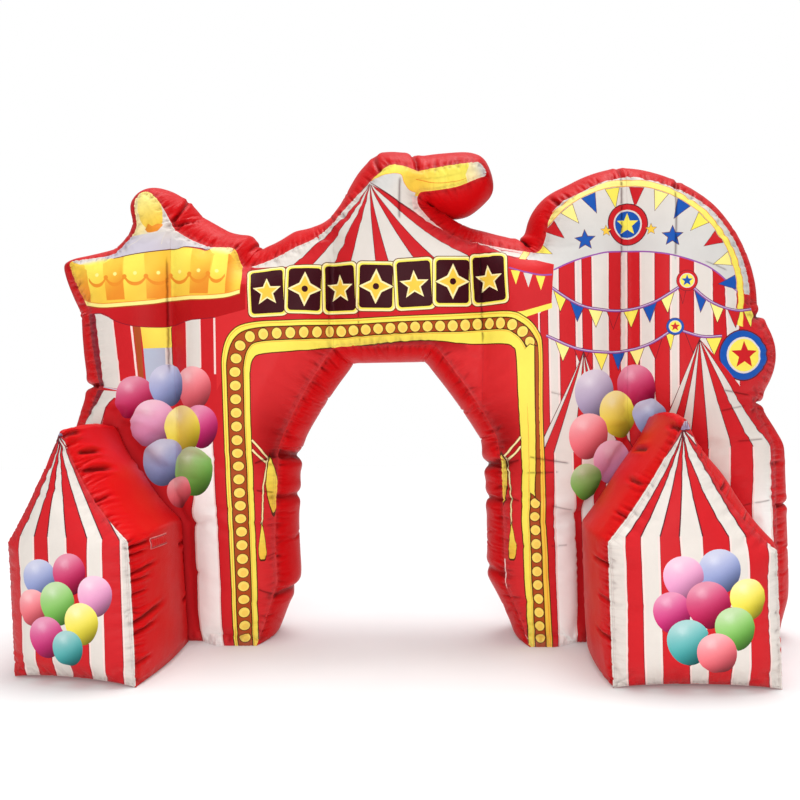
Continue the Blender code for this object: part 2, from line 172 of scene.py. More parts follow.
# places where the strip's puckers are weak: x, z, reach, share kept
ARCH_CALM = ((-1.380, 2.560, 0.34, 0.22), (-0.640, 2.480, 0.34, 0.55))
TENT_FOLDS = {
    "left": (
        Fold(-1.870, 1.345, 0.013, 0.0, 0.25, 0.012, 0.10, 0.0),
        Fold(-1.800, 1.250, 0.013, 0.06, 0.36, 0.014, 0.15, 0.0),
        Fold(-1.745, 1.170, 0.015, 0.02, 0.34, 0.016, 0.20, 0.0),
        Fold(-1.640, 1.020, 0.010, 0.0, 0.14, 0.010, 0.0, 0.020),
        Fold(-1.482, 0.745, 0.010, 0.0, 0.24, 0.013, 0.0, 0.030),
        Fold(-1.480, 0.700, 0.008, 0.0, 0.16, 0.010, 0.0, 0.020),
        Fold(-1.475, 0.600, 0.009, 0.0, 0.30, 0.012, -0.05, 0.030),
        Fold(-1.474, 0.565, 0.008, 0.0, 0.22, 0.009, 0.02, 0.020),
        Fold(-1.470, 0.490, 0.008, 0.0, 0.16, 0.009, 0.0, 0.020),
        Fold(-1.464, 0.345, 0.012, 0.0, 0.38, 0.013, -0.12, 0.030),
        Fold(-1.461, 0.280, 0.010, 0.0, 0.26, 0.011, -0.10, 0.020),
        Fold(-1.456, 0.120, 0.009, 0.0, 0.18, 0.009, -0.10, 0.020),
        Fold(-1.470, 0.640, 0.014, 0.72, 1.05, 0.010, 0.0, 0.0),
        Fold(-1.462, 0.300, 0.014, 0.76, 1.05, 0.010, 0.0, 0.0),
        Fold(-1.700, 1.110, 0.014, 0.74, 1.05, 0.010, 0.0, 0.0),
        Fold(-2.240, 0.520, 0.012, 0.0, 0.26, 0.011, 0.0, 0.020),
        Fold(-2.230, 0.300, 0.012, 0.0, 0.20, 0.010, 0.1, 0.020),
        Fold(-2.090, 1.080, 0.012, 0.0, 0.26, 0.011, 0.1, 0.020),
    ),
    "right": (
        Fold(1.430, 1.345, 0.013, 0.0, 0.22, 0.012, -0.10, 0.0),
        Fold(1.335, 1.205, 0.014, 0.28, 0.62, 0.013, -0.10, 0.0),
        Fold(1.250, 1.060, 0.012, 0.05, 0.28, 0.011, -0.05, 0.0),
        Fold(1.150, 0.900, 0.011, 0.0, 0.16, 0.010, 0.0, 0.020),
        Fold(1.066, 0.640, 0.010, 0.0, 0.26, 0.011, 0.0, 0.020),
        Fold(1.068, 0.450, 0.009, 0.0, 0.18, 0.009, 0.05, 0.020),
        Fold(1.072, 0.250, 0.010, 0.0, 0.24, 0.011, 0.08, 0.020),
        Fold(1.066, 0.560, 0.014, 0.74, 1.05, 0.010, 0.0, 0.0),
        Fold(1.070, 0.300, 0.014, 0.78, 1.05, 0.010, 0.0, 0.0),
        Fold(1.600, 1.220, 0.011, 0.0, 0.24, 0.012, 0.10, 0.020),
        Fold(1.690, 1.060, 0.011, 0.0, 0.20, 0.012, 0.10, 0.020),
        Fold(1.800, 0.900, 0.010, 0.0, 0.18, 0.010, 0.0, 0.020),
        Fold(1.925, 0.600, 0.012, 0.0, 0.30, 0.012, 0.0, 0.030),
        Fold(1.930, 0.400, 0.010, 0.0, 0.22, 0.011, 0.0, 0.030),
        Fold(1.934, 0.200, 0.010, 0.0, 0.24, 0.010, -0.1, 0.020),
    ),
}

# narrow creases in the arch's front: both ends, half width and depth
Crease = namedtuple("Crease", "x0 z0 x1 z1 width deep")
ARCH_CREASES = (
    Crease(1.312, 2.862, 1.308, 2.350, 0.0062, 0.0068),
    Crease(1.308, 2.400, 1.306, 1.700, 0.0060, 0.0030),
    Crease(1.632, 2.775, 1.632, 2.330, 0.0058, 0.0060),
    Crease(-0.059, 2.920, -0.063, 2.640, 0.0080, 0.0050),
    Crease(0.435, 2.420, 0.428, 1.850, 0.0060, 0.0058),
    Crease(-0.325, 2.170, -0.328, 1.880, 0.0055, 0.0040),
    Crease(-0.520, 2.420, -0.520, 1.900, 0.0055, 0.0035),
    Crease(-1.566, 2.450, -1.574, 1.700, 0.0062, 0.0055),
    Crease(0.840, 1.560, 0.960, 1.530, 0.0055, 0.0030),
    Crease(0.700, 1.165, 0.965, 1.125, 0.0062, 0.0045),
    Crease(0.690, 1.060, 0.900, 1.075, 0.0060, 0.0038),
    Crease(0.850, 0.860, 0.975, 0.840, 0.0060, 0.0034),
    Crease(0.850, 0.600, 0.940, 0.610, 0.0060, 0.0030),
    Crease(-0.890, 1.165, -1.010, 1.130, 0.0070, 0.0045),
    Crease(-0.885, 0.945, -1.000, 0.960, 0.0065, 0.0040),
    Crease(-0.880, 0.560, -0.960, 0.530, 0.0065, 0.0034),
    Crease(-0.900, 0.300, -1.000, 0.335, 0.0065, 0.0040),
    Crease(0.560, 1.115, 0.650, 1.140, 0.0065, 0.0040),
    Crease(0.570, 0.900, 0.660, 0.880, 0.0065, 0.0036),
    Crease(1.900, 1.560, 2.090, 1.520, 0.0065, 0.0040),
    Crease(1.880, 1.430, 2.060, 1.460, 0.0060, 0.0034),
    Crease(1.980, 1.240, 2.150, 1.250, 0.0060, 0.0036),
    Crease(2.010, 0.860, 2.180, 0.880, 0.0060, 0.0036),
    Crease(1.950, 2.280, 1.800, 2.330, 0.0060, 0.0034),
)

Tent = namedtuple("Tent", "side x_left x_right out_left out_right lean "
                          "eave_left eave_right apex_x apex_z dip_left dip_right")
TENTS = (
    Tent("left", -2.210, -1.450, 0.780, 0.965, -0.035,
         0.750, 0.780, -1.895, 1.380, 0.015, 0.055),
    Tent("right", 1.075, 1.935, 0.910, 0.915, -0.015,
         0.760, 0.715, 1.472, 1.405, 0.025, 0.065),
)


# ------------------------------------------------------------ outlines
def trace(stations, step):
    """Evenly spaced points along a closed seam, and the strip's belly there."""
    seam, belly = [], []
    count = len(stations)
    for i, a in enumerate(stations):
        b = stations[(i + 1) % count]
        dx, dz = b.x - a.x, b.z - a.z
        length = math.hypot(dx, dz)
        nx, nz = -dz / length, dx / length
        parts = max(1, round(length / step))
        for k in range(parts):
            u = k / parts
            rise = 4.0 * a.bow * u * (1.0 - u)
            seam.append((a.x + dx * u + nx * rise, a.z + dz * u + nz * rise))
            belly.append((a.belly_x + (b.belly_x - a.belly_x) * u,
                          a.belly_z + (b.belly_z - a.belly_z) * u))
    return np.array(seam), np.array(belly)


def smooth_ring(values, reach):
    """Moving average round a ring, twice over."""
    out = values.copy()
    for _ in range(2):
        total = out.copy()
        for k in range(1, reach + 1):
            total += np.roll(out, k, axis=0) + np.roll(out, -k, axis=0)
        out = total / (2 * reach + 1)
    return out


def soften(seam, belly, corner, drift):
    """Round the seam's corners a little and run the belly smoothly, feet kept flat."""
    low = seam[:, 1]
    stay = np.clip(1.0 - low / 0.06, 0.0, 1.0)[:, None]
    soft = smooth_ring(seam, corner)
    out = soft + (seam - soft) * stay
    swell = smooth_ring(belly, drift)
    swell = swell + (belly - swell) * stay
    out[seam[:, 1] <= 1e-6, 1] = 0.0
    swell[seam[:, 1] <= 1e-6, 1] = 0.0
    return out, swell


def inside(points, ring):
    """Which points lie inside a closed ring (crossing count)."""
    result = np.zeros(len(points), bool)
    x0, z0 = ring[:, 0][None, :], ring[:, 1][None, :]
    x1, z1 = np.roll(ring[:, 0], -1)[None, :], np.roll(ring[:, 1], -1)[None, :]
    dz = np.where(z1 == z0, 1.0, z1 - z0)
    for k in range(0, len(points), 4000):
        x, z = points[k:k + 4000, 0][:, None], points[k:k + 4000, 1][:, None]
        crosses = (z0 > z) != (z1 > z)
        at = x0 + (z - z0) * (x1 - x0) / dz
        result[k:k + 4000] = (np.sum(crosses & (x < at), axis=1) % 2) == 1
    return result


def edge_distance(points, ring, closed=True):
    """Distance of each point from a ring or a line."""
    out = np.empty(len(points))
    a = ring if closed else ring[:-1]
    b = np.roll(ring, -1, axis=0) if closed else ring[1:]
    ab = (b - a)[None]
    size = np.maximum(np.sum(ab * ab, axis=2), 1e-12)
    for k in range(0, len(points), 2000):
        p = points[k:k + 2000, None, :]
        t = np.clip(np.sum((p - a[None]) * ab, axis=2) / size, 0.0, 1.0)
        out[k:k + 2000] = np.sqrt(np.min(np.sum((p - a[None] - ab * t[:, :, None]) ** 2, axis=2), axis=1))
    return out


def tent_shape(tent, grow=0.0):
    return np.array([
        (tent.x_left - grow, -grow),
        (tent.x_left + tent.lean - grow, tent.eave_left + grow * 0.6),
        (tent.apex_x, tent.apex_z + grow * 1.2),
        (tent.x_right + tent.lean + grow, tent.eave_right + grow * 0.6),
        (tent.x_right + grow, -grow)])



def roof_slope(name, a, b, dip):
    """The station half way along a sloping roof seam that dips inwards."""
    dx, dz = b[0] - a[0], b[1] - a[1]
    length = math.hypot(dx, dz)
    nx, nz = -dz / length, dx / length
    swell = dip + ROOF_SWELL
    return Station(name, (a[0] + b[0]) / 2.0 - nx * dip, (a[1] + b[1]) / 2.0 - nz * dip,
                   -dip / 4.0, nx * swell, nz * swell)


def tent_outline(tent):
    low = 0.150
    eave_left = (tent.x_left + tent.lean, tent.eave_left)
    eave_right = (tent.x_right + tent.lean, tent.eave_right)
    apex = (tent.apex_x, tent.apex_z)
    return (
        Station("foot left", tent.x_left, 0.0, 0.0, -0.030, 0.0),
        Station("wall left", tent.x_left + tent.lean * low / tent.eave_left, low,
                0.0, -WALL_BELLY, 0.0),
        Station("eave left", eave_left[0], eave_left[1],
                -tent.dip_left / 4.0, -WALL_BELLY, 0.5 * ROOF_BELLY),
        roof_slope("roof left", eave_left, apex, tent.dip_left),
        Station("apex", apex[0], apex[1], -tent.dip_right / 4.0, 0.0, ROOF_BELLY),
        roof_slope("roof right", apex, eave_right, tent.dip_right),
        Station("eave right", eave_right[0], eave_right[1],
                0.0, WALL_BELLY, 0.5 * ROOF_BELLY),
        Station("wall right", tent.x_right + tent.lean * low / tent.eave_right, low,
                0.0, WALL_BELLY, 0.0),
        Station("foot right", tent.x_right, 0.0, 0.0, 0.030, 0.0),
    )


# ------------------------------------------------------------ inflated form
class Membrane:
    """Height of a cloth held at its rim and along its baffles, on a grid."""

    def __init__(self, ring, ties, share, cell=0.020):
        self.share, self.cell, self.ties = share, cell, ties
        self.rim = ring[::2]
        self.low = ring.min(axis=0) - 2.5 * cell
        size = np.ceil((ring.max(axis=0) + 2.5 * cell - self.low) / cell).astype(int)
        gx, gz = np.meshgrid(np.arange(size[0]), np.arange(size[1]), indexing="ij")
        self.grid = np.stack([gx, gz], axis=2).reshape(-1, 2) * cell + self.low
        free = inside(self.grid, ring).reshape(size)
        for b in ties:
            column = int(round((b.x - self.low[0]) / cell))
            rows = (self.grid.reshape(size[0], size[1], 2)[column, :, 1])
            free[column, (rows > b.low - 0.02) & (rows < b.high)] = False
        self.swell = self.solve(free.astype(float), cell)
        away = edge_distance(self.grid, self.rim).reshape(size)
        for b in ties:
            spot = self.grid.reshape(size[0], size[1], 2)
            dz = np.maximum(0.0, np.maximum(b.low - spot[:, :, 1], spot[:, :, 1] - b.high))
            away = np.minimum(away, np.hypot(spot[:, :, 0] - b.x, dz))
        self.free = free
        ratio = np.where(free, self.swell / np.maximum(away, 0.35 * cell), 0.0)
        known = free & (away > 0.6 * cell)
        ratio = np.where(known, ratio, 0.0)
        weight = known.astype(float)
        for _ in range(4):      # carry the ratio a few cells past the rim
            total, seen = np.zeros_like(ratio), np.zeros_like(weight)
            for dx in (-1, 0, 1):
                for dz in (-1, 0, 1):
                    total += np.roll(np.roll(ratio * weight, dx, 0), dz, 1)
                    seen += np.roll(np.roll(weight, dx, 0), dz, 1)
            fill = (weight == 0) & (seen > 0)
            ratio[fill] = total[fill] / seen[fill]
            weight[fill] = 1.0
        self.ratio = ratio

    @staticmethod
    def solve(free, cell):
        def apply(u):
            v = 4.0 * u
            v[1:] -= u[:-1]
            v[:-1] -= u[1:]
            v[:, 1:] -= u[:, :-1]
            v[:, :-1] -= u[:, 1:]
            return v * free

        u = np.zeros_like(free)
        r = free * cell * cell
        p = r.copy()
        rr = float((r * r).sum())
        first = rr
        for _ in range(1500):
            ap = apply(p)
            step = rr / float((p * ap).sum())
            u += step * p
            r -= step * ap
            new = float((r * r).sum())
            if new < first * 1e-8:
                break
            p *= new / rr
            p += r
            rr = new
        return u

    def sample(self, field, points):
        f = (points - self.low) / self.cell
        i = np.clip(np.floor(f).astype(int), 0, np.array(field.shape) - 2)
        t = np.clip(f - i, 0.0, 1.0)
        a, b = i[:, 0], i[:, 1]
        return (field[a, b] * (1 - t[:, 0]) * (1 - t[:, 1]) + field[a + 1, b] * t[:, 0] * (1 - t[:, 1])
                + field[a, b + 1] * (1 - t[:, 0]) * t[:, 1] + field[a + 1, b + 1] * t[:, 0] * t[:, 1])

    def height(self, points, rim_away=None):
        rim_away = edge_distance(points, self.rim) if rim_away is None else rim_away
        away = rim_away.copy()
        for b in self.ties:
            dz = np.maximum(0.0, np.maximum(b.low - points[:, 1], points[:, 1] - b.high))
            away = np.minimum(away, np.hypot(points[:, 0] - b.x, dz))
        swell = self.sample(self.ratio, points) * away
        out = self.share * (np.sqrt(2.0 * np.maximum(swell, 0.0) + SEAM_SOFT ** 2) - SEAM_SOFT)
        if self.ties:
            out = out + np.minimum(TIE_HEIGHT, 0.35 * rim_away)
        return out


def front_depth(points, membrane, rim_away):
    """How far the arch's front cloth stands forward of its seam plane."""
    rise = membrane.height(points, rim_away)
    low = np.clip(1.0 - points[:, 1] / FOOT_HEIGHT, 0.0, 1.0)
    push = FOOT_PUSH * low * low
    for tent in TENTS:
        shape = tent_shape(tent, PRESS_MARGIN)
        away = np.where(inside(points, shape), 0.0, edge_distance(points, shape))
        rise = np.minimum(rise, REST_FLAT + np.maximum(0.0, away - 0.002) * 0.9)
        push = np.minimum(push, np.maximum(0.0, away - 0.002) * 0.9)
    between = (points[:, 0] > TENTS[0].x_right) & (points[:, 0] < TENTS[1].x_left)
    return np.maximum(rise, np.where(between, push, 0.0))


# ------------------------------------------------------------ cloth meshes
def spread_points(ring, rows, hexes, lines=(), keep_off=0.55):
    """Points of a cloth: rows that follow the rim, then a staggered grid.

    rows: (distance in from the rim, spacing); hexes: (distance, spacing).
    lines: arrays of fixed points, such as baffle lines.
    """
    taken = {}
    size = 0.03

    def clear(p, gap):
        cx, cz = int(p[0] // size), int(p[1] // size)
        reach = int(gap // size) + 1
        for i in range(cx - reach, cx + reach + 1):
            for j in range(cz - reach, cz + reach + 1):
                for q in taken.get((i, j), ()):
                    if (p[0] - q[0]) ** 2 + (p[1] - q[1]) ** 2 < gap * gap:
                        return False
        return True

    def add(p):
        taken.setdefault((int(p[0] // size), int(p[1] // size)), []).append((p[0], p[1]))

    for p in ring:
        add(p)
    for line in lines:
        for p in line:
            add(p)
    out = []
    ahead, behind = np.roll(ring, -1, axis=0), np.roll(ring, 1, axis=0)
    along = ahead - behind
    along /= np.maximum(np.linalg.norm(along, axis=1), 1e-9)[:, None]
    inward = np.stack([along[:, 1], -along[:, 0]], axis=1)
    coarse = ring[::2]
    step = float(np.median(np.linalg.norm(ahead - ring, axis=1)))
    for depth, spacing in rows:
        every = max(1, round(spacing / step))
        some = (ring + inward * depth)[::every]
        ok = inside(some, ring)
        ok[ok] = edge_distance(some[ok], coarse) > 0.86 * depth
        for p in some[ok]:
            if clear(p, keep_off * spacing):
                add(p)
                out.append((p[0], p[1]))
    low, high = ring.min(axis=0), ring.max(axis=0)
    for depth, spacing in hexes:
        height = spacing * math.sqrt(3.0) / 2.0
        nx, nz = int((high[0] - low[0]) / spacing) + 1, int((high[1] - low[1]) / height) + 1
        c, r = np.meshgrid(np.arange(nx), np.arange(nz), indexing="ij")
        grid = np.stack([low[0] + (c + 0.5 * (r % 2)) * spacing, low[1] + (r + 0.5) * height],
                        axis=2).reshape(-1, 2)
        grid = grid[inside(grid, ring)]
        grid = grid[edge_distance(grid, coarse) > depth]
        for p in grid:
            if clear(p, 0.72 * spacing):
                add(p)
                out.append((p[0], p[1]))
    return np.array(out)


def triangulate(points, edges):
    """Constrained triangulation; returns points, triangles and each input point's new index."""
    vectors = [Vector((float(p[0]), float(p[1]))) for p in points]
    out, _, faces, source, _, _ = delaunay_2d_cdt(vectors, edges, [], 1, 1e-6)
    flat = np.array([(v.x, v.y) for v in out])
    where = np.full(len(points), -1)
    for new, olds in enumerate(source):
        for old in olds:
            if old < len(points):
                where[old] = new
    order = np.full(len(flat), -1)
    used = 0
    for old in range(len(points)):
        new = where[old]
        if new >= 0 and order[new] < 0:
            order[new] = used
            used += 1
    for new in range(len(flat)):
        if order[new] < 0:
            order[new] = used
            used += 1
    flat2 = np.empty_like(flat)
    flat2[order] = flat
    tris = np.array([[order[v] for v in f] for f in faces if len(f) == 3])
    return flat2, tris, np.where(where >= 0, order[where], -1)


# ------------------------------------------------------------ bodies
GUSSET_LEVELS = 20


def strip_levels(count):
    """Places across the side strip, closer together near its two seams."""
    u = np.arange(1, count) / count
    return 0.45 * u + 0.55 * (0.5 - 0.5 * np.cos(np.pi * u))


def baffle_points(baffle, ring, step=0.030):
    z = np.arange(max(baffle.low, 0.06), baffle.high + 1e-6, step)
    line = np.stack([np.full(len(z), baffle.x), z], axis=1)
    keep = inside(line, ring) & (edge_distance(line, ring[::2]) > 0.035)
    return line[keep]


class Body:
    """Vertices and faces of one inflated body, with what each vertex is."""

    def __init__(self, seam, belly, front_rows, front_hexes, back_rows, back_hexes, lines=()):
        self.seam, self.belly, self.lines = seam, belly, lines
        n = len(seam)
        fixed = np.concatenate([l for l in lines]) if len(lines) else np.zeros((0, 2))
        ring_edges = [(i, (i + 1) % n) for i in range(n)]
        self.sides = {}
        for side, rows, hexes in (("front", front_rows, front_hexes), ("back", back_rows, back_hexes)):
            extra = spread_points(seam, rows, hexes, lines)
            pts = np.concatenate([seam, fixed, extra])
            edges = list(ring_edges)
            at = n
            for line in lines:
                edges += [(at + k, at + k + 1) for k in range(len(line) - 1)]
                at += len(line)
            flat, tris, where = triangulate(pts, edges)
            self.sides[side] = (flat, tris, where)
        self.ring = n
        self.fixed = len(fixed)


def arc(flat):
    """Length along a closed ring."""
    step = np.linalg.norm(np.roll(flat, -1, axis=0) - flat, axis=1)
    return np.concatenate([[0.0], np.cumsum(step)[:-1]]), float(step.sum())


def puckers(total, seed, spacing=(0.045, 0.085), width=(0.009, 0.016), reach=(0.05, 0.15)):
    """Creases that start at a seam: where, how wide, how long, how deep and how slanted."""
    rng = np.random.default_rng(seed)
    found, at = [], 0.0
    while at < total - spacing[0]:
        found.append((at, rng.uniform(*width), rng.uniform(*reach) * rng.uniform(0.55, 1.0),
                      rng.uniform(0.30, 1.0), rng.uniform(-0.35, 0.35)))
        at += rng.uniform(*spacing)
    return np.array(found)


def pucker_field(s, depth, total, creases, hold=0.25, away=None):
    """Depth of the creases at a distance s along a seam and depth in from it.
    away: the true distance from the seam, where depth is a stretched one."""
    away = depth if away is None else away
    out = np.zeros(len(s))
    first = np.searchsorted(creases[:, 0], s)
    for k in (-3, -2, -1, 0, 1, 2):
        c = creases[(first + k) % len(creases)]
        gap = s - c[:, 0] - c[:, 4] * depth
        gap = (gap + total / 2) % total - total / 2
        width = c[:, 1] * (1.0 + 6.0 * depth)
        fade = np.clip(1.0 - depth / c[:, 2], 0.0, 1.0)
        out -= c[:, 3] * np.exp(-(gap / width) ** 2) * fade * fade * (3 - 2 * fade) * np.clip(away / 0.014, hold, 1.0)
    return out


def mesh_normals(verts, tris):
    a, b, c = verts[tris[:, 0]], verts[tris[:, 1]], verts[tris[:, 2]]
    face = np.cross(b - a, c - a)
    out = np.zeros_like(verts)
    for k in range(3):
        np.add.at(out, tris[:, k], face)
    return out / np.maximum(np.linalg.norm(out, axis=1), 1e-12)[:, None]


class Form:
    """The design shape of one inflated body, before its cloth is settled."""

    def __init__(self, name, body, front_y, back_y, levels):
        self.name, self.body = name, body
        n = self.n = body.ring
        self.front_flat, front_tris, self.front_where = body.sides["front"]
        self.back_flat, back_tris, self.back_where = body.sides["back"]
        nf, nb = len(self.front_flat), len(self.back_flat)
        fy, by = front_y(self.front_flat), back_y(self.back_flat)
        self.levels = np.concatenate([[0.0], levels, [1.0]])
        rings = []
        seam, belly = body.seam, body.belly
        ry0, ry1 = fy[:n], by[:n]
        for t in levels:
            swell = 4.0 * t * (1.0 - t)
            rings.append(np.stack([seam[:, 0] + belly[:, 0] * swell,
                                   ry0 + (ry1 - ry0) * t,
                                   seam[:, 1] + belly[:, 1] * swell], axis=1))
        front = np.stack([self.front_flat[:, 0], fy, self.front_flat[:, 1]], axis=1)
        back = np.stack([self.back_flat[:, 0], by, self.back_flat[:, 1]], axis=1)
        self.verts = np.concatenate([front] + rings + [back])
        self.nf, self.nb, self.nr = nf, nb, len(levels)
        base = nf + self.nr * n
        ids = [np.arange(n)] + [nf + k * n + np.arange(n) for k in range(self.nr)] + [base + np.arange(n)]
        quads = []
        for a, b in zip(ids, ids[1:]):
            quads.append(np.stack([a, np.roll(a, -1), np.roll(b, -1), b], axis=1))
        self.rings = ids
        self.quads = np.concatenate(quads)
        self.front_tris = front_tris
        self.back_tris = back_tris[:, ::-1] + base
        self.base = base
        self.tris = np.concatenate([self.front_tris, self.back_tris,
                                    self.quads[:, [0, 1, 2]], self.quads[:, [0, 2, 3]]])
        # distance along and away from the nearest seam, for the creases
        s, self.total = arc(seam)
        self.seam_s = s
        width = np.linalg.norm(np.stack([np.zeros(n), ry1 - ry0], axis=1), axis=1)
        self.strip_width = width

    def press_folds(self, folds, normal):
        """Push the placed folds into the strip, and on to the front cloth for a short way."""
        sunk = np.zeros(len(self.verts))
        seam = self.body.seam
        away = None
        for fold in folds:
            at = self.seam_s[np.argmin(np.linalg.norm(seam - (fold.x, fold.z), axis=1))]
            middle = (fold.begin + fold.end) / 2
            for k, ids in enumerate(self.rings[1:-1]):
                t = self.levels[k + 1]
                if not fold.begin - 0.1 < t < fold.end + 0.1:
                    continue
                gap = self.seam_s - at - fold.slant * (t - max(fold.begin, 0.0)) * self.strip_width
                gap = (gap + self.total / 2) % self.total - self.total / 2
                edge = min(1.0, max(0.0, (t - fold.begin) / 0.06 + (fold.begin <= 0.0)),
                           max(0.0, (fold.end - t) / max(0.3 * (fold.end - fold.begin), 0.04)))
                width = fold.width * (1.0 + 0.5 * abs(t - middle))
                press = (np.exp(-(gap / width) ** 2) - 0.35 * np.exp(-((np.abs(gap) - 2.4 * width) / width) ** 2))
                sunk[ids] = sunk[ids] + fold.deep * edge * press
            if fold.onto > 0.0:
                if away is None:
                    away = edge_distance(self.front_flat, seam[::2])
                    near = along_rim(self.front_flat, seam, self.seam_s)
                gap = (near - at + self.total / 2) % self.total - self.total / 2
                share = np.clip(1.0 - away / fold.onto, 0.0, 1.0) * np.clip(away / 0.010, 0.25, 1.0)
                sunk[:self.nf] += 0.8 * fold.deep * share * np.exp(-(gap / fold.width) ** 2) * (away < fold.onto)
        self.verts = self.verts - normal * sunk[:, None]
        return sunk

    def sharpen(self, folds, narrow, share, dark):
        """Press the placed folds once more, narrower, into the blown-up shape."""
        normal = mesh_normals(self.verts, self.tris)
        sharp = [f._replace(width=f.width * narrow, deep=f.deep * share) for f in folds]
        sunk = self.press_folds(sharp, normal)
        self.hollow = np.clip(self.hollow + dark * np.maximum(sunk, 0.0), 0.0, 1.3)

    def crease(self, amplitude, seed, front=1.0, strip=1.0, back=1.0, rows=0.17, folds=(), fine=None, dark=42.0,
               calm=()):
        """Press the seams' creases into the design shape."""
        still = np.ones(len(self.body.seam))
        for x, z, reach, keep in calm:
            d = np.linalg.norm(self.body.seam - (x, z), axis=1)
            still = still * (1.0 - (1.0 - keep) * np.clip(1.6 - 1.6 * d / reach, 0.0, 1.0))
        normal = mesh_normals(self.verts, self.tris)
        lift = np.zeros(len(self.verts))
        a, b = puckers(self.total, seed), puckers(self.total, seed + 1)
        for flat, at, share, creases in ((self.front_flat, 0, front, a), (self.back_flat, self.base, back, b)):
            ring = self.body.seam
            near = np.zeros(len(flat))
            where = np.zeros(len(flat))
            for k in range(0, len(flat), 1500):
                d = np.linalg.norm(flat[k:k + 1500, None, :] - ring[None, ::2, :], axis=2)
                j = np.argmin(d, axis=1)
                near[k:k + 1500] = d[np.arange(len(j)), j]
                where[k:k + 1500] = self.seam_s[::2][j]
            some = near < rows
            lift[at:at + len(flat)][some] = share * pucker_field(where[some], near[some], self.total, creases)
        for k, ids in enumerate(self.rings[1:-1]):
            t = self.levels[k + 1]
            down = t * self.strip_width * 1.2
            up = (1.0 - t) * self.strip_width * 1.2
            lift[ids] = strip * still * (pucker_field(self.seam_s, down, self.total, a)
                                         + pucker_field(self.seam_s, up, self.total, b))
        self.design = self.verts.copy()
        self.verts = self.verts + normal * (lift * amplitude)[:, None]
        sunk = self.press_folds(folds, normal)
        # hollow: depth in the creases, by which the materials paint shade
        self.hollow = np.clip(-0.55 * lift + dark * np.maximum(sunk, 0.0), 0.0, 1.2)
        fine = fine or dict(spacing=(0.026, 0.062), width=(0.0058, 0.0100), reach=(0.035, 0.19))
        self.fine_front = puckers(self.total, seed + 2, **fine)
        self.fine_back = puckers(self.total, seed + 3, **fine)


def settle(form, pins, tethers=(), frames=18, pressure=60.0, slack=0.03, tension=60.0,
           bending=0.15, cap=0.05, mass=0.002, compression=None, pin_stiffness=2.0):
    """Blow the cloth up against its seams with Blender's cloth simulation."""
    start = form.verts.copy()
    mesh = bpy.data.meshes.new(form.name + "_settle")
    faces = [tuple(t) for t in form.front_tris] + [tuple(t) for t in form.back_tris] \
        + [tuple(q) for q in form.quads]
    mesh.from_pydata([tuple(v) for v in start], [tuple(e) for e in tethers], faces)
    ob = bpy.data.objects.new(form.name + "_settle", mesh)
    bpy.context.scene.collection.objects.link(ob)
    group = ob.vertex_groups.new(name="held")
    for value in np.unique(np.round(pins, 2)):
        if value > 0:
            group.add([int(i) for i in np.where(np.round(pins, 2) == value)[0]], float(value), "REPLACE")
    mod = ob.modifiers.new("air", "CLOTH")
    s = mod.settings
    s.quality = 5
    s.mass = mass
    s.air_damping = 1.0
    s.tension_stiffness = tension
    s.compression_stiffness = tension if compression is None else compression
    s.shear_stiffness = 0.3 * tension
    s.bending_stiffness = bending
    s.tension_damping = s.compression_damping = 12.0
    s.shear_damping = 12.0
    s.bending_damping = 1.0
    s.vertex_group_mass = "held"
    s.pin_stiffness = pin_stiffness
    s.use_pressure = True
    s.uniform_pressure_force = pressure
    s.shrink_min = -slack
    s.effector_weights.gravity = 0.0
    mod.collision_settings.use_collision = False
    mod.collision_settings.use_self_collision = False
    scene = bpy.context.scene
    mod.point_cache.frame_start = 1
    mod.point_cache.frame_end = frames
    scene.frame_start, scene.frame_end = 1, frames
    for f in range(1, frames + 1):
        scene.frame_set(f)
    dg = bpy.context.evaluated_depsgraph_get()
    done = ob.evaluated_get(dg).to_mesh()
    out = np.empty(len(start) * 3, np.float32)
    done.vertices.foreach_get("co", out)
    out = out.reshape(-1, 3).astype(float)
    ob.evaluated_get(dg).to_mesh_clear()
    bpy.data.objects.remove(ob, do_unlink=True)
    bpy.data.meshes.remove(mesh)
    scene.frame_set(1)
    move = out - start
    size = np.linalg.norm(move, axis=1)
    share = np.minimum(1.0, cap / np.maximum(size, 1e-9))
    out = start + move * share[:, None]
    out[:, 2] = np.maximum(out[:, 2], 0.0)
    return out, size


def keep_outline(form, start, share):
    """The settled strip keeps its folds, but not the swelling that would move its outline."""
    move = np.stack([(form.verts - start)[ids] for ids in form.rings[1:-1]])
    slow = move.copy()
    for _ in range(2):
        total = slow.copy()
        for k in range(1, 6):
            total += np.roll(slow, k, axis=1) + np.roll(slow, -k, axis=1)
        slow = total / 11.0
        wide = np.concatenate([slow[:1]] * 2 + [slow] + [slow[-1:]] * 2)
        slow = (wide[:-4] + wide[1:-3] + wide[2:-2] + wide[3:-1] + wide[4:]) / 5.0
    for k, ids in enumerate(form.rings[1:-1]):
        form.verts[ids] -= slow[k] * share
    form.verts[:, 2] = np.maximum(form.verts[:, 2], 0.0)


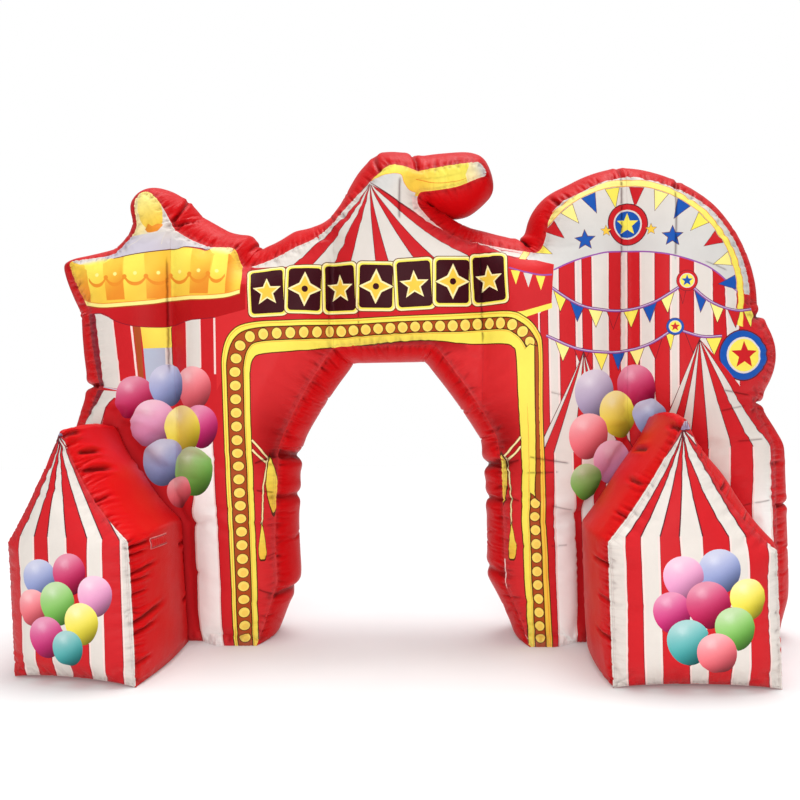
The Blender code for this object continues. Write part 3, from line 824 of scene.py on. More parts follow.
# ------------------------------------------------------------ print inks
# each ink is an sRGB colour, 0 to 255
INK = {
    "red": (200, 33, 39), "bright red": (211, 44, 47), "deep red": (180, 20, 24),
    "wine": (142, 24, 40), "shade red": (150, 10, 14), "line": (96, 30, 40),
    # white painted lighter: a white for low places, painted lighter against the shade that falls there
    "white": (221, 213, 205), "white painted lighter": (246, 247, 243), "grey white": (210, 207, 203), "pink white": (243, 214, 208),
    "yellow": (246, 229, 92), "pale yellow": (252, 236, 140), "gold": (243, 199, 70),
    "amber": (232, 142, 44), "cream": (250, 232, 170), "brown": (170, 74, 30),
    "dark brown": (84, 40, 12), "maroon": (58, 10, 20), "bulb": (248, 220, 104),
    "bulb heart": (244, 208, 92), "lilac grey": (203, 196, 208), "steel": (178, 186, 204),
    "purple": (150, 84, 164), "blue": (28, 84, 172), "crimson": (186, 16, 72),
    "coral": (232, 92, 104), "lilac": (132, 146, 200), "pale pink": (226, 140, 188),
    "disc yellow": (240, 222, 58), "green": (112, 184, 72), "teal": (58, 160, 160),
    "magenta": (196, 30, 104), "violet grey": (160, 146, 180),
}

Shape = namedtuple("Shape", "ring ink tint")


def curve(*controls, count=10):
    """A smooth open line through its control points (Catmull-Rom)."""
    p = np.array(controls, float)
    if len(p) < 3:
        return p
    q = np.concatenate([[2 * p[0] - p[1]], p, [2 * p[-1] - p[-2]]])
    out = []
    for i in range(1, len(q) - 2):
        a, b, c, d = q[i - 1], q[i], q[i + 1], q[i + 2]
        for k in range(count):
            t = k / count
            out.append(0.5 * ((2 * b) + (c - a) * t + (2 * a - 5 * b + 4 * c - d) * t * t
                              + (3 * b - a - 3 * c + d) * t ** 3))
    out.append(p[-1])
    return np.array(out)


def even(line, step):
    """The same line with evenly spaced points."""
    size = np.linalg.norm(np.diff(line, axis=0), axis=1)
    at = np.concatenate([[0.0], np.cumsum(size)])
    count = max(2, int(round(at[-1] / step)) + 1)
    s = np.linspace(0.0, at[-1], count)
    return np.stack([np.interp(s, at, line[:, 0]), np.interp(s, at, line[:, 1])], axis=1)


def band(line, half, half_end=None):
    """A ribbon of a given half width along a line."""
    line = np.array(line, float)
    along = np.gradient(line, axis=0)
    along /= np.maximum(np.linalg.norm(along, axis=1), 1e-9)[:, None]
    side = np.stack([-along[:, 1], along[:, 0]], axis=1)
    w = np.linspace(half, half if half_end is None else half_end, len(line))[:, None]
    return np.concatenate([line + side * w, (line - side * w)[::-1]])


def oval(x, z, rx, rz, turn=0.0, count=28, narrow=0.0):
    a = np.arange(count) / count * 2 * np.pi
    px, pz = rx * np.cos(a) * (1.0 + narrow * np.sin(a)), rz * np.sin(a)
    c, s = math.cos(turn), math.sin(turn)
    return np.stack([x + px * c - pz * s, z + px * s + pz * c], axis=1)


def star(x, z, outer, inner, points=5, turn=0.0):
    a = np.arange(points * 2) / (points * 2) * 2 * np.pi + math.pi / 2 + turn
    r = np.where(np.arange(points * 2) % 2 == 0, outer, inner)
    return np.stack([x + r * np.cos(a), z + r * np.sin(a)], axis=1)


def plaque(x, z, w, h, corner, turn=0.0, count=4):
    """A rectangle with rounded corners."""
    out = []
    for k, (sx, sz) in enumerate(((1, 1), (-1, 1), (-1, -1), (1, -1))):
        for j in range(count + 1):
            a = (k + j / count) * math.pi / 2
            out.append((sx * (w / 2 - corner) + corner * math.cos(a),
                        sz * (h / 2 - corner) + corner * math.sin(a)))
    out = np.array(out)
    c, s = math.cos(turn), math.sin(turn)
    return np.stack([x + out[:, 0] * c - out[:, 1] * s, z + out[:, 0] * s + out[:, 1] * c], axis=1)


def ink(name):
    return np.array(INK[name], float)


def fade(a, b, start, end):
    """Tint that runs from ink a at one place to ink b at another."""
    p, q = np.array(start, float), np.array(end, float)
    d = q - p

    def tint(pts):
        t = np.clip(((pts - p) @ d) / (d @ d), 0.0, 1.0)
        t = t * t * (3 - 2 * t)
        return ink(a) * (1 - t)[:, None] + ink(b) * t[:, None]
    return tint


def ball(x, z, rx, rz, name, glow=0.80):
    """Soft shading of a printed disc: pale at the top, full colour below, darker at one side."""
    def tint(pts):
        u, v = (pts[:, 0] - x) / rx, (pts[:, 1] - z) / rz
        pale = np.clip(0.50 + 0.62 * v - 0.26 * u - 0.15 * u * u, 0.0, 1.0) ** 1.35
        dark = np.clip(0.20 + 0.42 * u - 0.62 * v, 0.0, 1.0) ** 2 * 0.62
        spot = np.exp(-(((u + 0.28) / 0.24) ** 2 + ((v - 0.50) / 0.20) ** 2))
        base = ink(name)
        light = base * 0.30 + np.array([250.0, 240.0, 236.0]) * 0.70
        out = base[None] * (1 - glow * pale)[:, None] + light[None] * (glow * pale)[:, None]
        out = out * (1 - dark)[:, None]
        return out * (1 - 0.35 * spot)[:, None] + 250.0 * (0.35 * spot)[:, None]
    return tint


class Print:
    """A list of painted shapes; a later one covers an earlier one."""

    def __init__(self, ground):
        self.shapes, self.ground = [], ground

    def fill(self, ring, name, tint=None):
        self.shapes.append(Shape(np.array(ring, float), name, tint))

    def line(self, path, half, name, half_end=None):
        self.fill(band(path, half, half_end), name)

    def disc(self, x, z, rx, rz, name, turn=0.0):
        self.fill(oval(x, z, rx, rz, turn, 36, narrow=0.10), name, ball(x, z, rx, rz, name))

    def fan(self, apex, foot_z, edges, first, power=1.25, end_z=None, outline=0.0025, step=0.05):
        """Stripes that spread from an apex; edges are their places at foot_z."""
        end_z = foot_z if end_z is None else end_z
        lines = []
        for e in edges:
            x, p = e if isinstance(e, tuple) else (e, power)
            z = np.linspace(apex[1], end_z, max(6, int((apex[1] - end_z) / step)))
            drop = np.clip((apex[1] - z) / (apex[1] - foot_z), 0.0, None)
            lines.append(np.stack([apex[0] + (x - apex[0]) * drop ** p, z], axis=1))
        for k, (a, b) in enumerate(zip(lines, lines[1:])):
            name = first if k % 2 == 0 else ("red" if first != "red" else "white")
            self.fill(np.concatenate([a, b[::-1]]), name)
        if outline:
            for a in lines:
                self.line(a, outline * 0.5, "line", outline)
        return lines


def stripes(art, edges_top, edges_foot, z_top, z_foot, first):
    """Upright stripes with their edges given at two heights."""
    for k in range(len(edges_top) - 1):
        name = first if k % 2 == 0 else ("red" if first != "red" else "white")
        # painted light: a white stripe that reaches above 1 m is painted lighter towards its foot, against the shade
        # that falls there
        painted_light_below = fade("white", "white painted lighter", (0.0, 1.20), (0.0, 0.70)) if name == "white" and z_top > 1.0 else None
        art.fill([(edges_top[k], z_top), (edges_top[k + 1], z_top),
                  (edges_foot[k + 1], z_foot), (edges_foot[k], z_foot)], name, painted_light_below)
        if name == "white":
            for k2 in (k, k + 1):
                art.line([(edges_top[k2], z_top), (edges_foot[k2], z_foot)], 0.0022, "wine")
                inner = 0.0075 if k2 == k else -0.0075
                art.line([(edges_top[k2] + inner, z_top), (edges_foot[k2] + inner, z_foot)], 0.0042, "pink white")


def rosette(art, x, z, r, outer, middle, heart):
    art.fill(oval(x, z, r * 1.05, r * 1.05, count=32), "line")
    art.fill(oval(x, z, r, r, count=32), outer)
    art.fill(oval(x, z, r * 0.74, r * 0.74, count=28), "white")
    art.fill(oval(x, z, r * 0.66, r * 0.66, count=28), middle)
    art.fill(star(x, z, r * 0.58, r * 0.25), heart)


# ------------------------------------------------------------ arch front
def arch_print():
    art = Print("red")
    # -- big top over the walkway
    art.fill([(-1.30, 2.36), (-0.25, 3.0), (0.30, 2.95), (0.90, 2.46), (0.86, 2.36), (0.60, 2.05), (-1.03, 2.05)], "red")
    edges = (-1.160, -0.725, -0.605, -0.480, -0.365, -0.215, -0.140, 0.020, 0.140, 0.360, 0.620)
    art.fan((-0.250, 2.895), 2.400, edges, "white", power=1.25, end_z=2.12)
    art.fill([(-2.30, 2.385), (-1.02, 2.385), (-0.80, 2.372), (-0.72, 2.10), (-1.10, 1.90), (-2.30, 1.90)], "red")
    pole = [(-0.262, 2.89), (-0.236, 2.935), (-0.05, 2.945), (0.02, 2.86), (0.08, 2.83), (0.075, 2.70),
            (0.022, 2.712), (-0.055, 2.752), (-0.150, 2.815)]
    art.fill(pole, "grey white", fade("white", "grey white", (-0.07, 2.80), (-0.16, 2.84)))
    art.line(curve((-0.250, 2.895), (-0.150, 2.815), (-0.055, 2.752), (0.040, 2.700)), 0.0028, "line")
    slope = curve((0.030, 2.715), (0.130, 2.640), (0.270, 2.560), (0.450, 2.487), (0.620, 2.447), (0.830, 2.415),
                  count=6)
    art.fill(np.concatenate([slope - (0.0, 0.006), [(0.90, 2.46), (0.84, 2.60), (0.30, 2.66), (0.02, 2.80)]]), "pink white")
    art.fill([(0.500, 2.462), (0.620, 2.434), (0.900, 2.400), (0.900, 2.330), (0.780, 2.372), (0.600, 2.405)], "white")
    lobe = curve((-0.275, 2.895), (-0.160, 2.930), (-0.060, 2.930), (-0.034, 2.880), (0.004, 2.836), (0.060, 2.816))
    art.fill(np.concatenate([lobe, [(0.15, 2.82), (0.12, 3.08), (-0.20, 3.08)]]), "yellow",
             fade("yellow", "gold", (-0.13, 2.97), (0.03, 2.90)))
    art.line(lobe, 0.0016, "amber")
    art.fill([(0.030, 3.10), (0.60, 3.10), (0.60, 2.80), (0.040, 2.80)], "yellow",
             fade("gold", "yellow", (0.05, 2.90), (0.22, 2.91)))
    art.line(curve((0.040, 2.902), (0.16, 2.884), (0.30, 2.892), (0.40, 2.925)), 0.003, "amber", 0.001)
    art.fill([(0.350, 3.10), (0.372, 2.98), (0.352, 2.93), (0.368, 2.85), (0.60, 2.80), (0.60, 3.10)], "cream",
             fade("cream", "grey white", (0.38, 2.94), (0.47, 2.97)))
    # -- right wing: cream ground with red stripes, a domed top and two striped roofs
    # painted light: the white ground is painted lighter towards its foot, against the shade of the tent in front
    art.fill([(0.80, 2.02), (0.80, 2.44), (0.78, 3.1), (2.4, 3.1), (2.4, -0.1), (0.80, -0.1)], "white",
             fade("white", "white painted lighter", (1.0, 1.45), (1.0, 0.70)))
    for x0, x1, z0 in ((0.800, 0.846, 1.0), (0.915, 1.008, 1.0), (1.052, 1.108, 1.0), (1.218, 1.302, 1.0),
                       (1.346, 1.418, 1.0), (1.512, 1.598, 1.0), (1.656, 1.738, 1.0), (1.852, 1.928, 1.0),
                       (2.012, 2.400, 1.0)):
        art.fill([(x0, z0), (x0, 2.42), (x1, 2.42), (x1, z0)], "red")
        for x, side in ((x0, -1), (x1, 1)):
            art.line([(x, z0), (x, 2.42)], 0.0022, "wine")
            art.line([(x + side * 0.008, z0), (x + side * 0.008, 2.42)], 0.0045, "pink white")
    centre, radius = np.array([1.340, 2.110]), 0.700
    turn = np.linspace(math.radians(-14), math.radians(172), 46)
    arc_line = lambda r: centre + r * np.stack([np.cos(turn), np.sin(turn)], axis=1)
    base = curve((0.86, 2.285), (1.00, 2.345), (1.16, 2.385), (1.34, 2.398), (1.52, 2.385), (1.70, 2.345),
                 (1.86, 2.275), (2.02, 2.150), count=6)
    art.fill(np.concatenate([base, [(2.30, 2.10), (2.40, 3.1), (0.70, 3.1), (0.70, 2.285)]]), "white",
             fade("grey white", "white", (1.34, 2.40), (1.34, 2.80)))
    art.line(base, 0.0045, "purple")
    art.fill(np.concatenate([arc_line(radius + 0.021), arc_line(radius - 0.021)[::-1]]), "amber")
    art.fill(np.concatenate([arc_line(radius + 0.017), arc_line(radius - 0.017)[::-1]]), "pale yellow",
             fade("pale yellow", "yellow", (1.0, 2.5), (2.05, 2.1)))
    # pennants hung along the inside of the gold arc
    colours = ("blue", "yellow", "red", "pale yellow")
    for k in range(13):
        a = math.radians(160 - k * 12.6)
        for r0, r1, w, name in ((0.676, 0.548, 0.046, "line"), (0.674, 0.555, 0.042, colours[k % 4])):
            out = np.array([math.cos(a), math.sin(a)])
            side = np.array([-out[1], out[0]])
            art.fill([centre + out * r0 + side * w, centre + out * r1, centre + out * r0 - side * w], name)
    # a large ringed star on the dome and cords with pennants across the stripes
    rosette(art, 1.345, 2.560, 0.122, "red", "blue", "yellow")
    for x, z, r, name in ((1.075, 2.470, 0.060, "blue"), (1.615, 2.480, 0.060, "blue"),
                          (1.205, 2.520, 0.034, "gold"), (1.490, 2.525, 0.034, "gold")):
        art.fill(star(x, z, r * 1.12, r * 0.50), "line")
        art.fill(star(x, z, r, r * 0.42), name)
    cords = (
        ((0.835, 2.215), (1.05, 2.075), (1.28, 2.040), (1.50, 2.085), (1.70, 2.205)),
        ((1.70, 2.205), (1.84, 2.085), (1.98, 2.040), (2.12, 2.050)),
        ((0.835, 1.900), (1.04, 1.810), (1.27, 1.790), (1.47, 1.835), (1.63, 1.930)),
        ((1.63, 1.930), (1.78, 1.880), (1.90, 1.880)),
    )
    for c, cord in enumerate(cords):
        path = even(curve(*cord, count=8), 0.030)
        picks = range(2, len(path) - 2, 4)
        for k, i in enumerate(picks):
            p, q = path[i] - (0.0, 0.004), path[min(i + 3, len(path) - 1)] - (0.0, 0.004)
            tip = (p + q) / 2 - np.array([0.0, 0.105])
            art.fill([p - (0.004, 0), q + (0.004, 0), tip - (0, 0.008)], "line")
            art.fill([p, q, tip], ("yellow", "blue", "pale yellow", "red")[(k + c) % 4])
        art.line(path, 0.0095, "line")
        art.line(path, 0.0072, "purple")
        art.line(path + (0.0, 0.002), 0.0020, "lilac grey")
    rosette(art, 1.700, 2.215, 0.060, "red", "yellow", "blue")
    rosette(art, 1.630, 1.940, 0.050, "blue", "yellow", "red")
    # the round lobe at the right edge
    rosette(art, 2.035, 1.765, 0.148, "blue", "yellow", "red")
    # small striped roof at the left, larger one at the right
    roof = art.fan((1.055, 1.800), 1.190, (0.760, 0.800, 0.866, 0.985, 1.045, 1.115, 1.190, 1.270, 1.370),
                   "white", power=1.06)
    stripes(art, (0.660, 0.866, 0.985, 1.030, 1.115, 1.190, 1.270, 1.370),
            (0.700, 0.886, 1.006, 1.060, 1.130, 1.200, 1.280, 1.380), 1.190, -0.05, "red")
    big = ((1.500, 1.0), (1.572, 1.0), (1.640, 1.0), (1.712, 1.0), (1.818, 1.0), (1.950, 1.0), (2.075, 1.0),
           (2.190, 1.0))
    art.fill([(1.62, 1.50), (1.77, 1.865), (2.25, 1.30), (2.4, 1.3), (2.4, 1.0), (1.2, 1.0), (1.45, 1.21)], "red")
    art.fan((1.770, 1.865), 1.205, big, "white")
    stripes(art, (1.400, 1.500, 1.572, 1.640, 1.712, 1.822, 1.948, 2.070, 2.190, 2.30),
            (1.400, 1.500, 1.572, 1.640, 1.712, 1.830, 1.952, 2.070, 2.186, 2.30), 1.205, -0.05, "red")
    for x, z, rx, rz, name, lean in (
            (1.395, 1.575, 0.118, 0.140, "crimson", 0.15), (1.120, 1.540, 0.122, 0.148, "violet grey", -0.1),
            (1.265, 1.415, 0.120, 0.142, "disc yellow", 0.1), (1.075, 1.285, 0.118, 0.140, "coral", -0.2),
            (1.480, 1.385, 0.105, 0.125, "lilac", 0.2), (1.225, 1.120, 0.118, 0.140, "pale pink", 0.1),
            (1.060, 1.010, 0.095, 0.112, "green", -0.1)):
        art.disc(x, z, rx, rz, name, lean)

    # -- left wing: tower, valance, scalloped gold cap, shoulder and knob
    art.fill([(-1.235, 2.20), (-1.00, 2.20), (-1.00, 2.02), (-1.235, 1.60)], "bright red")
    art.fill([(-2.20, 2.13), (-2.055, 2.13), (-2.008, 1.640), (-2.20, 1.60)], "wine")
    art.fill([(-2.052, 2.115), (-1.918, 2.062), (-1.884, 1.620), (-2.006, 1.636)], "white")
    art.line([(-1.924, 2.06), (-1.890, 1.62)], 0.004, "pink white")
    art.fill([(-2.20, 1.62), (-1.995, 1.612), (-2.13, 1.36), (-2.30, 1.36)], "wine")
    art.fill([(-2.004, 1.612), (-1.895, 1.606), (-1.960, 1.535), (-2.030, 1.330), (-2.145, 1.330)], "white")
    art.line(curve((-1.930, 1.566), (-1.968, 1.510), (-2.034, 1.340)), 0.0035, "wine")
    art.line([(-2.012, 1.634), (-1.885, 1.612)], 0.0035, "lilac grey")
    art.fill([(-1.790, 2.03), (-1.746, 2.03), (-1.734, 1.60), (-1.760, 1.60)], "brown")
    art.line([(-1.802, 2.03), (-1.768, 1.55)], 0.0065, "pink white")
    art.fill([(-1.745, 2.02), (-1.552, 2.02), (-1.552, 1.870), (-1.732, 1.870)], "yellow",
             fade("yellow", "gold", (-1.60, 1.95), (-1.76, 1.87)))
    art.fill([(-1.732, 1.870), (-1.596, 1.870), (-1.594, 1.60), (-1.718, 1.60)], "steel")
    art.fill([(-1.596, 1.870), (-1.554, 1.870), (-1.552, 1.56), (-1.594, 1.56)], "white")
    art.line([(-1.552, 2.02), (-1.550, 1.56)], 0.0028, "dark brown")
    art.fill([(-1.440, 2.05), (-1.334, 2.05), (-1.330, 1.56), (-1.436, 1.56)], "white")
    art.line([(-1.436, 2.05), (-1.432, 1.56)], 0.004, "pink white")
    art.line([(-1.338, 2.05), (-1.334, 1.56)], 0.004, "pink white")
    art.line([(-1.246, 2.075), (-1.244, 1.70)], 0.0062, "pink white")
    valance = curve((-2.095, 2.100), (-1.99, 2.098), (-1.90, 2.048), (-1.78, 2.012), (-1.62, 2.000),
                    (-1.53, 2.008), (-1.42, 2.034), (-1.24, 2.052), count=5)
    art.fill(np.concatenate([valance, [(-1.05, 2.10), (-1.05, 2.26), (-2.10, 2.26)]]), "deep red",
             fade("red", "deep red", (-2.05, 2.15), (-1.62, 2.02)))
    art.line(valance, 0.0028, "wine")
    hem = curve((-2.110, 2.180), (-2.090, 2.150), (-1.98, 2.134), (-1.82, 2.136), (-1.66, 2.146), (-1.54, 2.160),
                (-1.34, 2.162), (-1.18, 2.172), (-1.085, 2.196), count=5)
    crest = curve((-1.07, 2.42), (-1.13, 2.60), (-1.285, 2.497), (-1.45, 2.494), (-1.60, 2.478), (-1.75, 2.462),
                  (-1.905, 2.440), (-1.99, 2.462), (-2.20, 2.60), (-2.32, 2.45), count=5)
    cap = np.concatenate([hem, crest])
    art.fill(cap, "gold")
    folds = (-2.075, -1.955, -1.835, -1.700, -1.545, -1.405, -1.285, -1.180)
    for k, (a, b) in enumerate(zip(folds, folds[1:])):
        top, foot = 2.455 + 0.035 * math.sin((a + 2.1) * 3.2), 2.150 + 0.02 * (k > 3)
        lean = 0.030 * (k - 3) / 3.0
        ring = [(a + lean, top), (b + lean, top), (b, foot + 0.03), (a, foot + 0.03)]
        art.fill(ring, "yellow", fade("yellow" if k % 2 == 0 else "gold", "gold" if k % 2 == 0 else "amber",
                                      (a + 0.02, 2.40), (b, 2.24)))
    # one garland in shallow scallops from pleat to pleat, with a dot in each and a knob between two
    for a, b in zip(folds, folds[1:]):
        mid, w = (a + b) / 2, b - a
        scallop = curve((a, 2.330), (a + 0.22 * w, 2.297), (mid, 2.286), (b - 0.22 * w, 2.297), (b, 2.330), count=5)
        art.fill(np.concatenate([scallop, (scallop - (0.0, 0.022))[::-1]]), "amber")
        art.fill(oval(mid, 2.342, 0.012, 0.012, count=12), "pale yellow")
    for a in folds[1:-1]:
        art.fill(oval(a, 2.322, 0.015, 0.015, count=12), "amber")
    art.fill([(-2.21, 2.44), (-2.085, 2.38), (-2.075, 2.17), (-2.10, 2.16), (-2.165, 2.30)], "amber",
             fade("gold", "amber", (-2.17, 2.40), (-2.10, 2.22)))
    art.fill([(-1.165, 2.47), (-1.095, 2.40), (-1.085, 2.215), (-1.180, 2.18)], "gold",
             fade("amber", "gold", (-1.18, 2.30), (-1.10, 2.30)))
    # painted highlights: cream patches along the cap's top left and top right
    art.fill(curve((-2.24, 2.47), (-2.13, 2.420), (-2.03, 2.408), (-1.940, 2.440), (-1.950, 2.480), (-2.10, 2.60),
                   count=4), "cream", fade("yellow", "white", (-2.05, 2.410), (-2.06, 2.450)))
    art.fill(curve((-1.285, 2.50), (-1.262, 2.462), (-1.205, 2.450), (-1.145, 2.476), (-1.13, 2.56), count=4), "cream",
             fade("yellow", "cream", (-1.21, 2.452), (-1.20, 2.500)))
    art.fill(np.concatenate([hem, (hem + (0.0, 0.026))[::-1]]), "pale yellow")
    art.line(hem + (0.0, 0.028), 0.0026, "amber")
    art.line(hem, 0.0034, "brown")
    crown_foot = curve((-1.285, 2.500), (-1.45, 2.497), (-1.60, 2.481), (-1.75, 2.465), (-1.915, 2.452), count=5)
    # lilac grey print that fades to white upwards; the fade is painted shade at the shoulder's foot
    art.fill(np.concatenate([crown_foot, [(-2.02, 2.47), (-2.00, 2.72), (-1.40, 2.72), (-1.20, 2.53)]]), "lilac grey",
             fade("lilac grey", "white", (-1.66, 2.50), (-1.62, 2.66)))
    # painted highlights: thin white lines on the shoulder
    for path in (((-1.86, 2.495), (-1.76, 2.560), (-1.70, 2.600)), ((-1.52, 2.560), (-1.42, 2.530), (-1.33, 2.512)),
                 ((-1.60, 2.520), (-1.585, 2.570), (-1.56, 2.610))):
        art.line(curve(*path), 0.0026, "white", 0.0010)
    art.line(crown_foot, 0.0030, "line")
    art.fill([(-1.86, 2.592), (-1.735, 2.600), (-1.55, 2.600), (-1.46, 2.585), (-1.40, 3.0), (-1.90, 3.0)], "cream",
             fade("cream", "white", (-1.70, 2.75), (-1.60, 2.70)))
    art.fill(oval(-1.672, 2.752, 0.080, 0.142, 0.16, 30), "yellow", fade("pale yellow", "gold", (-1.69, 2.86), (-1.63, 2.64)))
    art.fill(curve((-1.722, 2.640), (-1.69, 2.668), (-1.66, 2.650), (-1.63, 2.672), (-1.590, 2.655), (-1.615, 2.618),
                   (-1.65, 2.606), (-1.695, 2.612), (-1.722, 2.640), count=3), "amber")

    # stripe of the left leg and the discs above it
    # painted light: the leg's stripe is printed in a lighter white, against the shade beside the tent
    art.fill([(-1.405, 1.30), (-1.264, 1.30), (-1.226, -0.05), (-1.360, -0.05)], "white painted lighter")
    art.line([(-1.401, 1.30), (-1.356, -0.05)], 0.0045, "pink white")
    art.line([(-1.268, 1.30), (-1.230, -0.05)], 0.0045, "pink white")
    art.line([(-1.408, 1.30), (-1.363, -0.05)], 0.0025, "wine")
    art.line([(-1.261, 1.30), (-1.223, -0.05)], 0.0025, "wine")
    for x, z, rx, rz, name, lean in (
            (-1.395, 1.610, 0.125, 0.140, "coral", 0.1), (-1.800, 1.565, 0.122, 0.135, "crimson", -0.2),
            (-1.590, 1.630, 0.115, 0.135, "lilac", 0.0), (-1.345, 1.375, 0.115, 0.135, "magenta", 0.15),
            (-1.690, 1.400, 0.132, 0.150, "pale pink", -0.15), (-1.480, 1.350, 0.138, 0.155, "disc yellow", 0.1),
            (-1.610, 1.140, 0.130, 0.150, "lilac", -0.1), (-1.405, 1.090, 0.140, 0.160, "green", 0.2),
            (-1.500, 0.950, 0.085, 0.100, "coral", 0.0)):
        art.disc(x, z, rx, rz, name, lean)

    # red apron between the big top and the marquee, with a gold hem on the right
    art.fill([(0.600, 2.02), (0.600, 2.390), (0.780, 2.372), (0.885, 2.330), (0.868, 2.075), (0.70, 2.03)], "bright red",
             fade("bright red", "red", (0.7, 2.35), (0.75, 2.1)))
    art.fill([(0.600, 2.040), (0.700, 2.052), (0.872, 2.098), (0.872, 2.066), (0.720, 2.018), (0.600, 2.008)], "yellow")
    for k in range(3):
        x = 0.655 + 0.075 * k
        z = 2.300 - 0.018 * k
        art.fill([(x - 0.028, z), (x + 0.028, z - 0.006), (x + 0.002, z - 0.088)], ("yellow", "white", "yellow")[k])
    art.line(curve((0.615, 2.318), (0.70, 2.290), (0.80, 2.268), (0.875, 2.268), count=5), 0.0045, "purple")

    # -- the sign's place: seven plain plaques with stars
    for k in range(7):
        x = -0.915 + 0.2335 * k
        z = 2.212 + 0.0075 * k
        tilt = (0.045, -0.035, 0.03, -0.04, 0.035, -0.03, 0.04)[k]
        tall = 0.300 if k % 2 == 0 else 0.285
        art.fill(plaque(x, z, 0.252, tall + 0.028, 0.036, tilt), "dark brown")
        art.fill(plaque(x, z, 0.242, tall + 0.018, 0.032, tilt), "cream")
        art.fill(plaque(x, z, 0.222, tall - 0.002, 0.026, tilt), "yellow")
        art.fill(plaque(x, z, 0.204, tall - 0.022, 0.022, tilt), "maroon")
        if k % 2 == 0:
            art.fill(star(x, z - 0.006, 0.092, 0.040, 5, tilt), "cream")
            art.fill(star(x, z - 0.006, 0.068, 0.029, 5, tilt), "gold")
        else:
            art.fill(star(x, z, 0.108, 0.050, 4, tilt), "cream")
            art.fill(star(x, z, 0.083, 0.038, 4, tilt), "gold")
            art.fill(oval(x, z, 0.020, 0.020, count=12), "maroon")

    # -- marquee: nested bands, each edge a short table from foot to foot
    outer = curve((-1.158, -0.05), (-1.180, 0.80), (-1.200, 1.60), (-1.198, 1.83), (-1.140, 1.965), (-1.010, 2.020),
                  (-0.70, 2.032), (0.0, 2.050), (0.56, 2.056), (0.705, 2.020), (0.790, 1.925), (0.812, 1.80),
                  (0.806, 1.35), (0.824, 0.80), (0.852, -0.05), count=5)
    brown_a = curve((-1.131, -0.05), (-1.150, 0.80), (-1.168, 1.60), (-1.166, 1.80), (-1.112, 1.930), (-0.990, 1.982),
                    (-0.70, 1.994), (0.0, 2.012), (0.54, 2.018), (0.680, 1.985), (0.762, 1.895), (0.784, 1.78),
                    (0.778, 1.35), (0.790, 0.80), (0.812, -0.05), count=5)
    brown_b = curve((-1.040, -0.05), (-1.052, 0.80), (-1.066, 1.60), (-1.064, 1.76), (-1.034, 1.858), (-0.960, 1.900),
                    (-0.70, 1.912), (0.0, 1.936), (0.52, 1.948), (0.640, 1.920), (0.706, 1.845), (0.722, 1.74),
                    (0.722, 1.35), (0.728, 0.80), (0.745, -0.05), count=5)
    inner = curve((-1.000, -0.05), (-1.012, 0.80), (-1.024, 1.60), (-1.022, 1.72), (-1.004, 1.790), (-0.945, 1.822),
                  (-0.70, 1.838), (-0.30, 1.866), (0.10, 1.884), (0.36, 1.862), (0.56, 1.856), (0.628, 1.836), (0.650, 1.76),
                  (0.658, 1.35), (0.676, 0.80), (0.702, -0.05), count=5)
    closed = lambda path: np.concatenate([path, [(path[-1][0], -0.2), (path[0][0], -0.2)]])
    art.fill(closed(outer), "yellow", fade("yellow", "gold", (0.55, 1.9), (0.80, 1.7)))
    art.line(outer, 0.0032, "dark brown")
    art.line(outer + (inner_shift(outer, 0.014)), 0.0016, "amber")
    art.fill(closed(brown_a), "brown")
    art.line(brown_a, 0.0036, "dark brown")
    art.fill(closed(brown_b), "yellow")
    art.line(brown_b, 0.0036, "dark brown")
    art.line(brown_b + (inner_shift(brown_b, 0.010)), 0.0014, "amber")
    art.fill(closed(inner), "red", painted_shade_field)
    art.line(inner, 0.0034, "dark brown")
    centre_line = mid_line(brown_a, brown_b, 400)
    length = np.concatenate([[0.0], np.cumsum(np.linalg.norm(np.diff(centre_line, axis=0), axis=1))])
    at = 0.072
    while at < length[-1]:
        p = np.array([np.interp(at, length, centre_line[:, 0]), np.interp(at, length, centre_line[:, 1])])
        q = np.array([np.interp(at + 0.01, length, centre_line[:, 0]), np.interp(at + 0.01, length, centre_line[:, 1])])
        turn_by = math.atan2(q[1] - p[1], q[0] - p[0])
        size = 0.0345 if p[0] < 0.70 else 0.0285
        art.fill(oval(p[0], p[1], 0.0350, size + 0.0055, turn_by, 16), "dark brown")
        art.fill(oval(p[0], p[1], 0.0305, size, turn_by, 16), "bulb")
        art.fill(oval(p[0] + 0.004, p[1] - 0.004, 0.0180, size * 0.58, turn_by, 12), "bulb heart")
        at += 0.0845 if (p[1] < 1.75 or p[0] < -0.6) else 0.0765
    # above the knee of the right leg the bulbs are tucked under and plain bands show
    art.fill([(0.706, 1.826), (0.706, 1.740), (0.714, 1.35), (0.724, 0.935), (0.757, 0.900), (0.762, 1.35),
              (0.762, 1.76), (0.766, 1.838), (0.735, 1.850)], "yellow")
    art.fill([(0.766, 1.840), (0.762, 1.76), (0.758, 1.35), (0.754, 0.905), (0.790, 0.880), (0.778, 1.35), (0.784, 1.74),
              (0.782, 1.83)], "brown")
    art.line(curve((0.764, 1.846), (0.763, 1.76), (0.759, 1.35), (0.755, 0.905)), 0.0036, "dark brown")
    art.line([(0.704, 1.826), (0.735, 1.852), (0.784, 1.836)], 0.0030, "dark brown")
    art.line([(0.725, 0.938), (0.757, 0.902), (0.792, 0.878)], 0.0030, "dark brown")
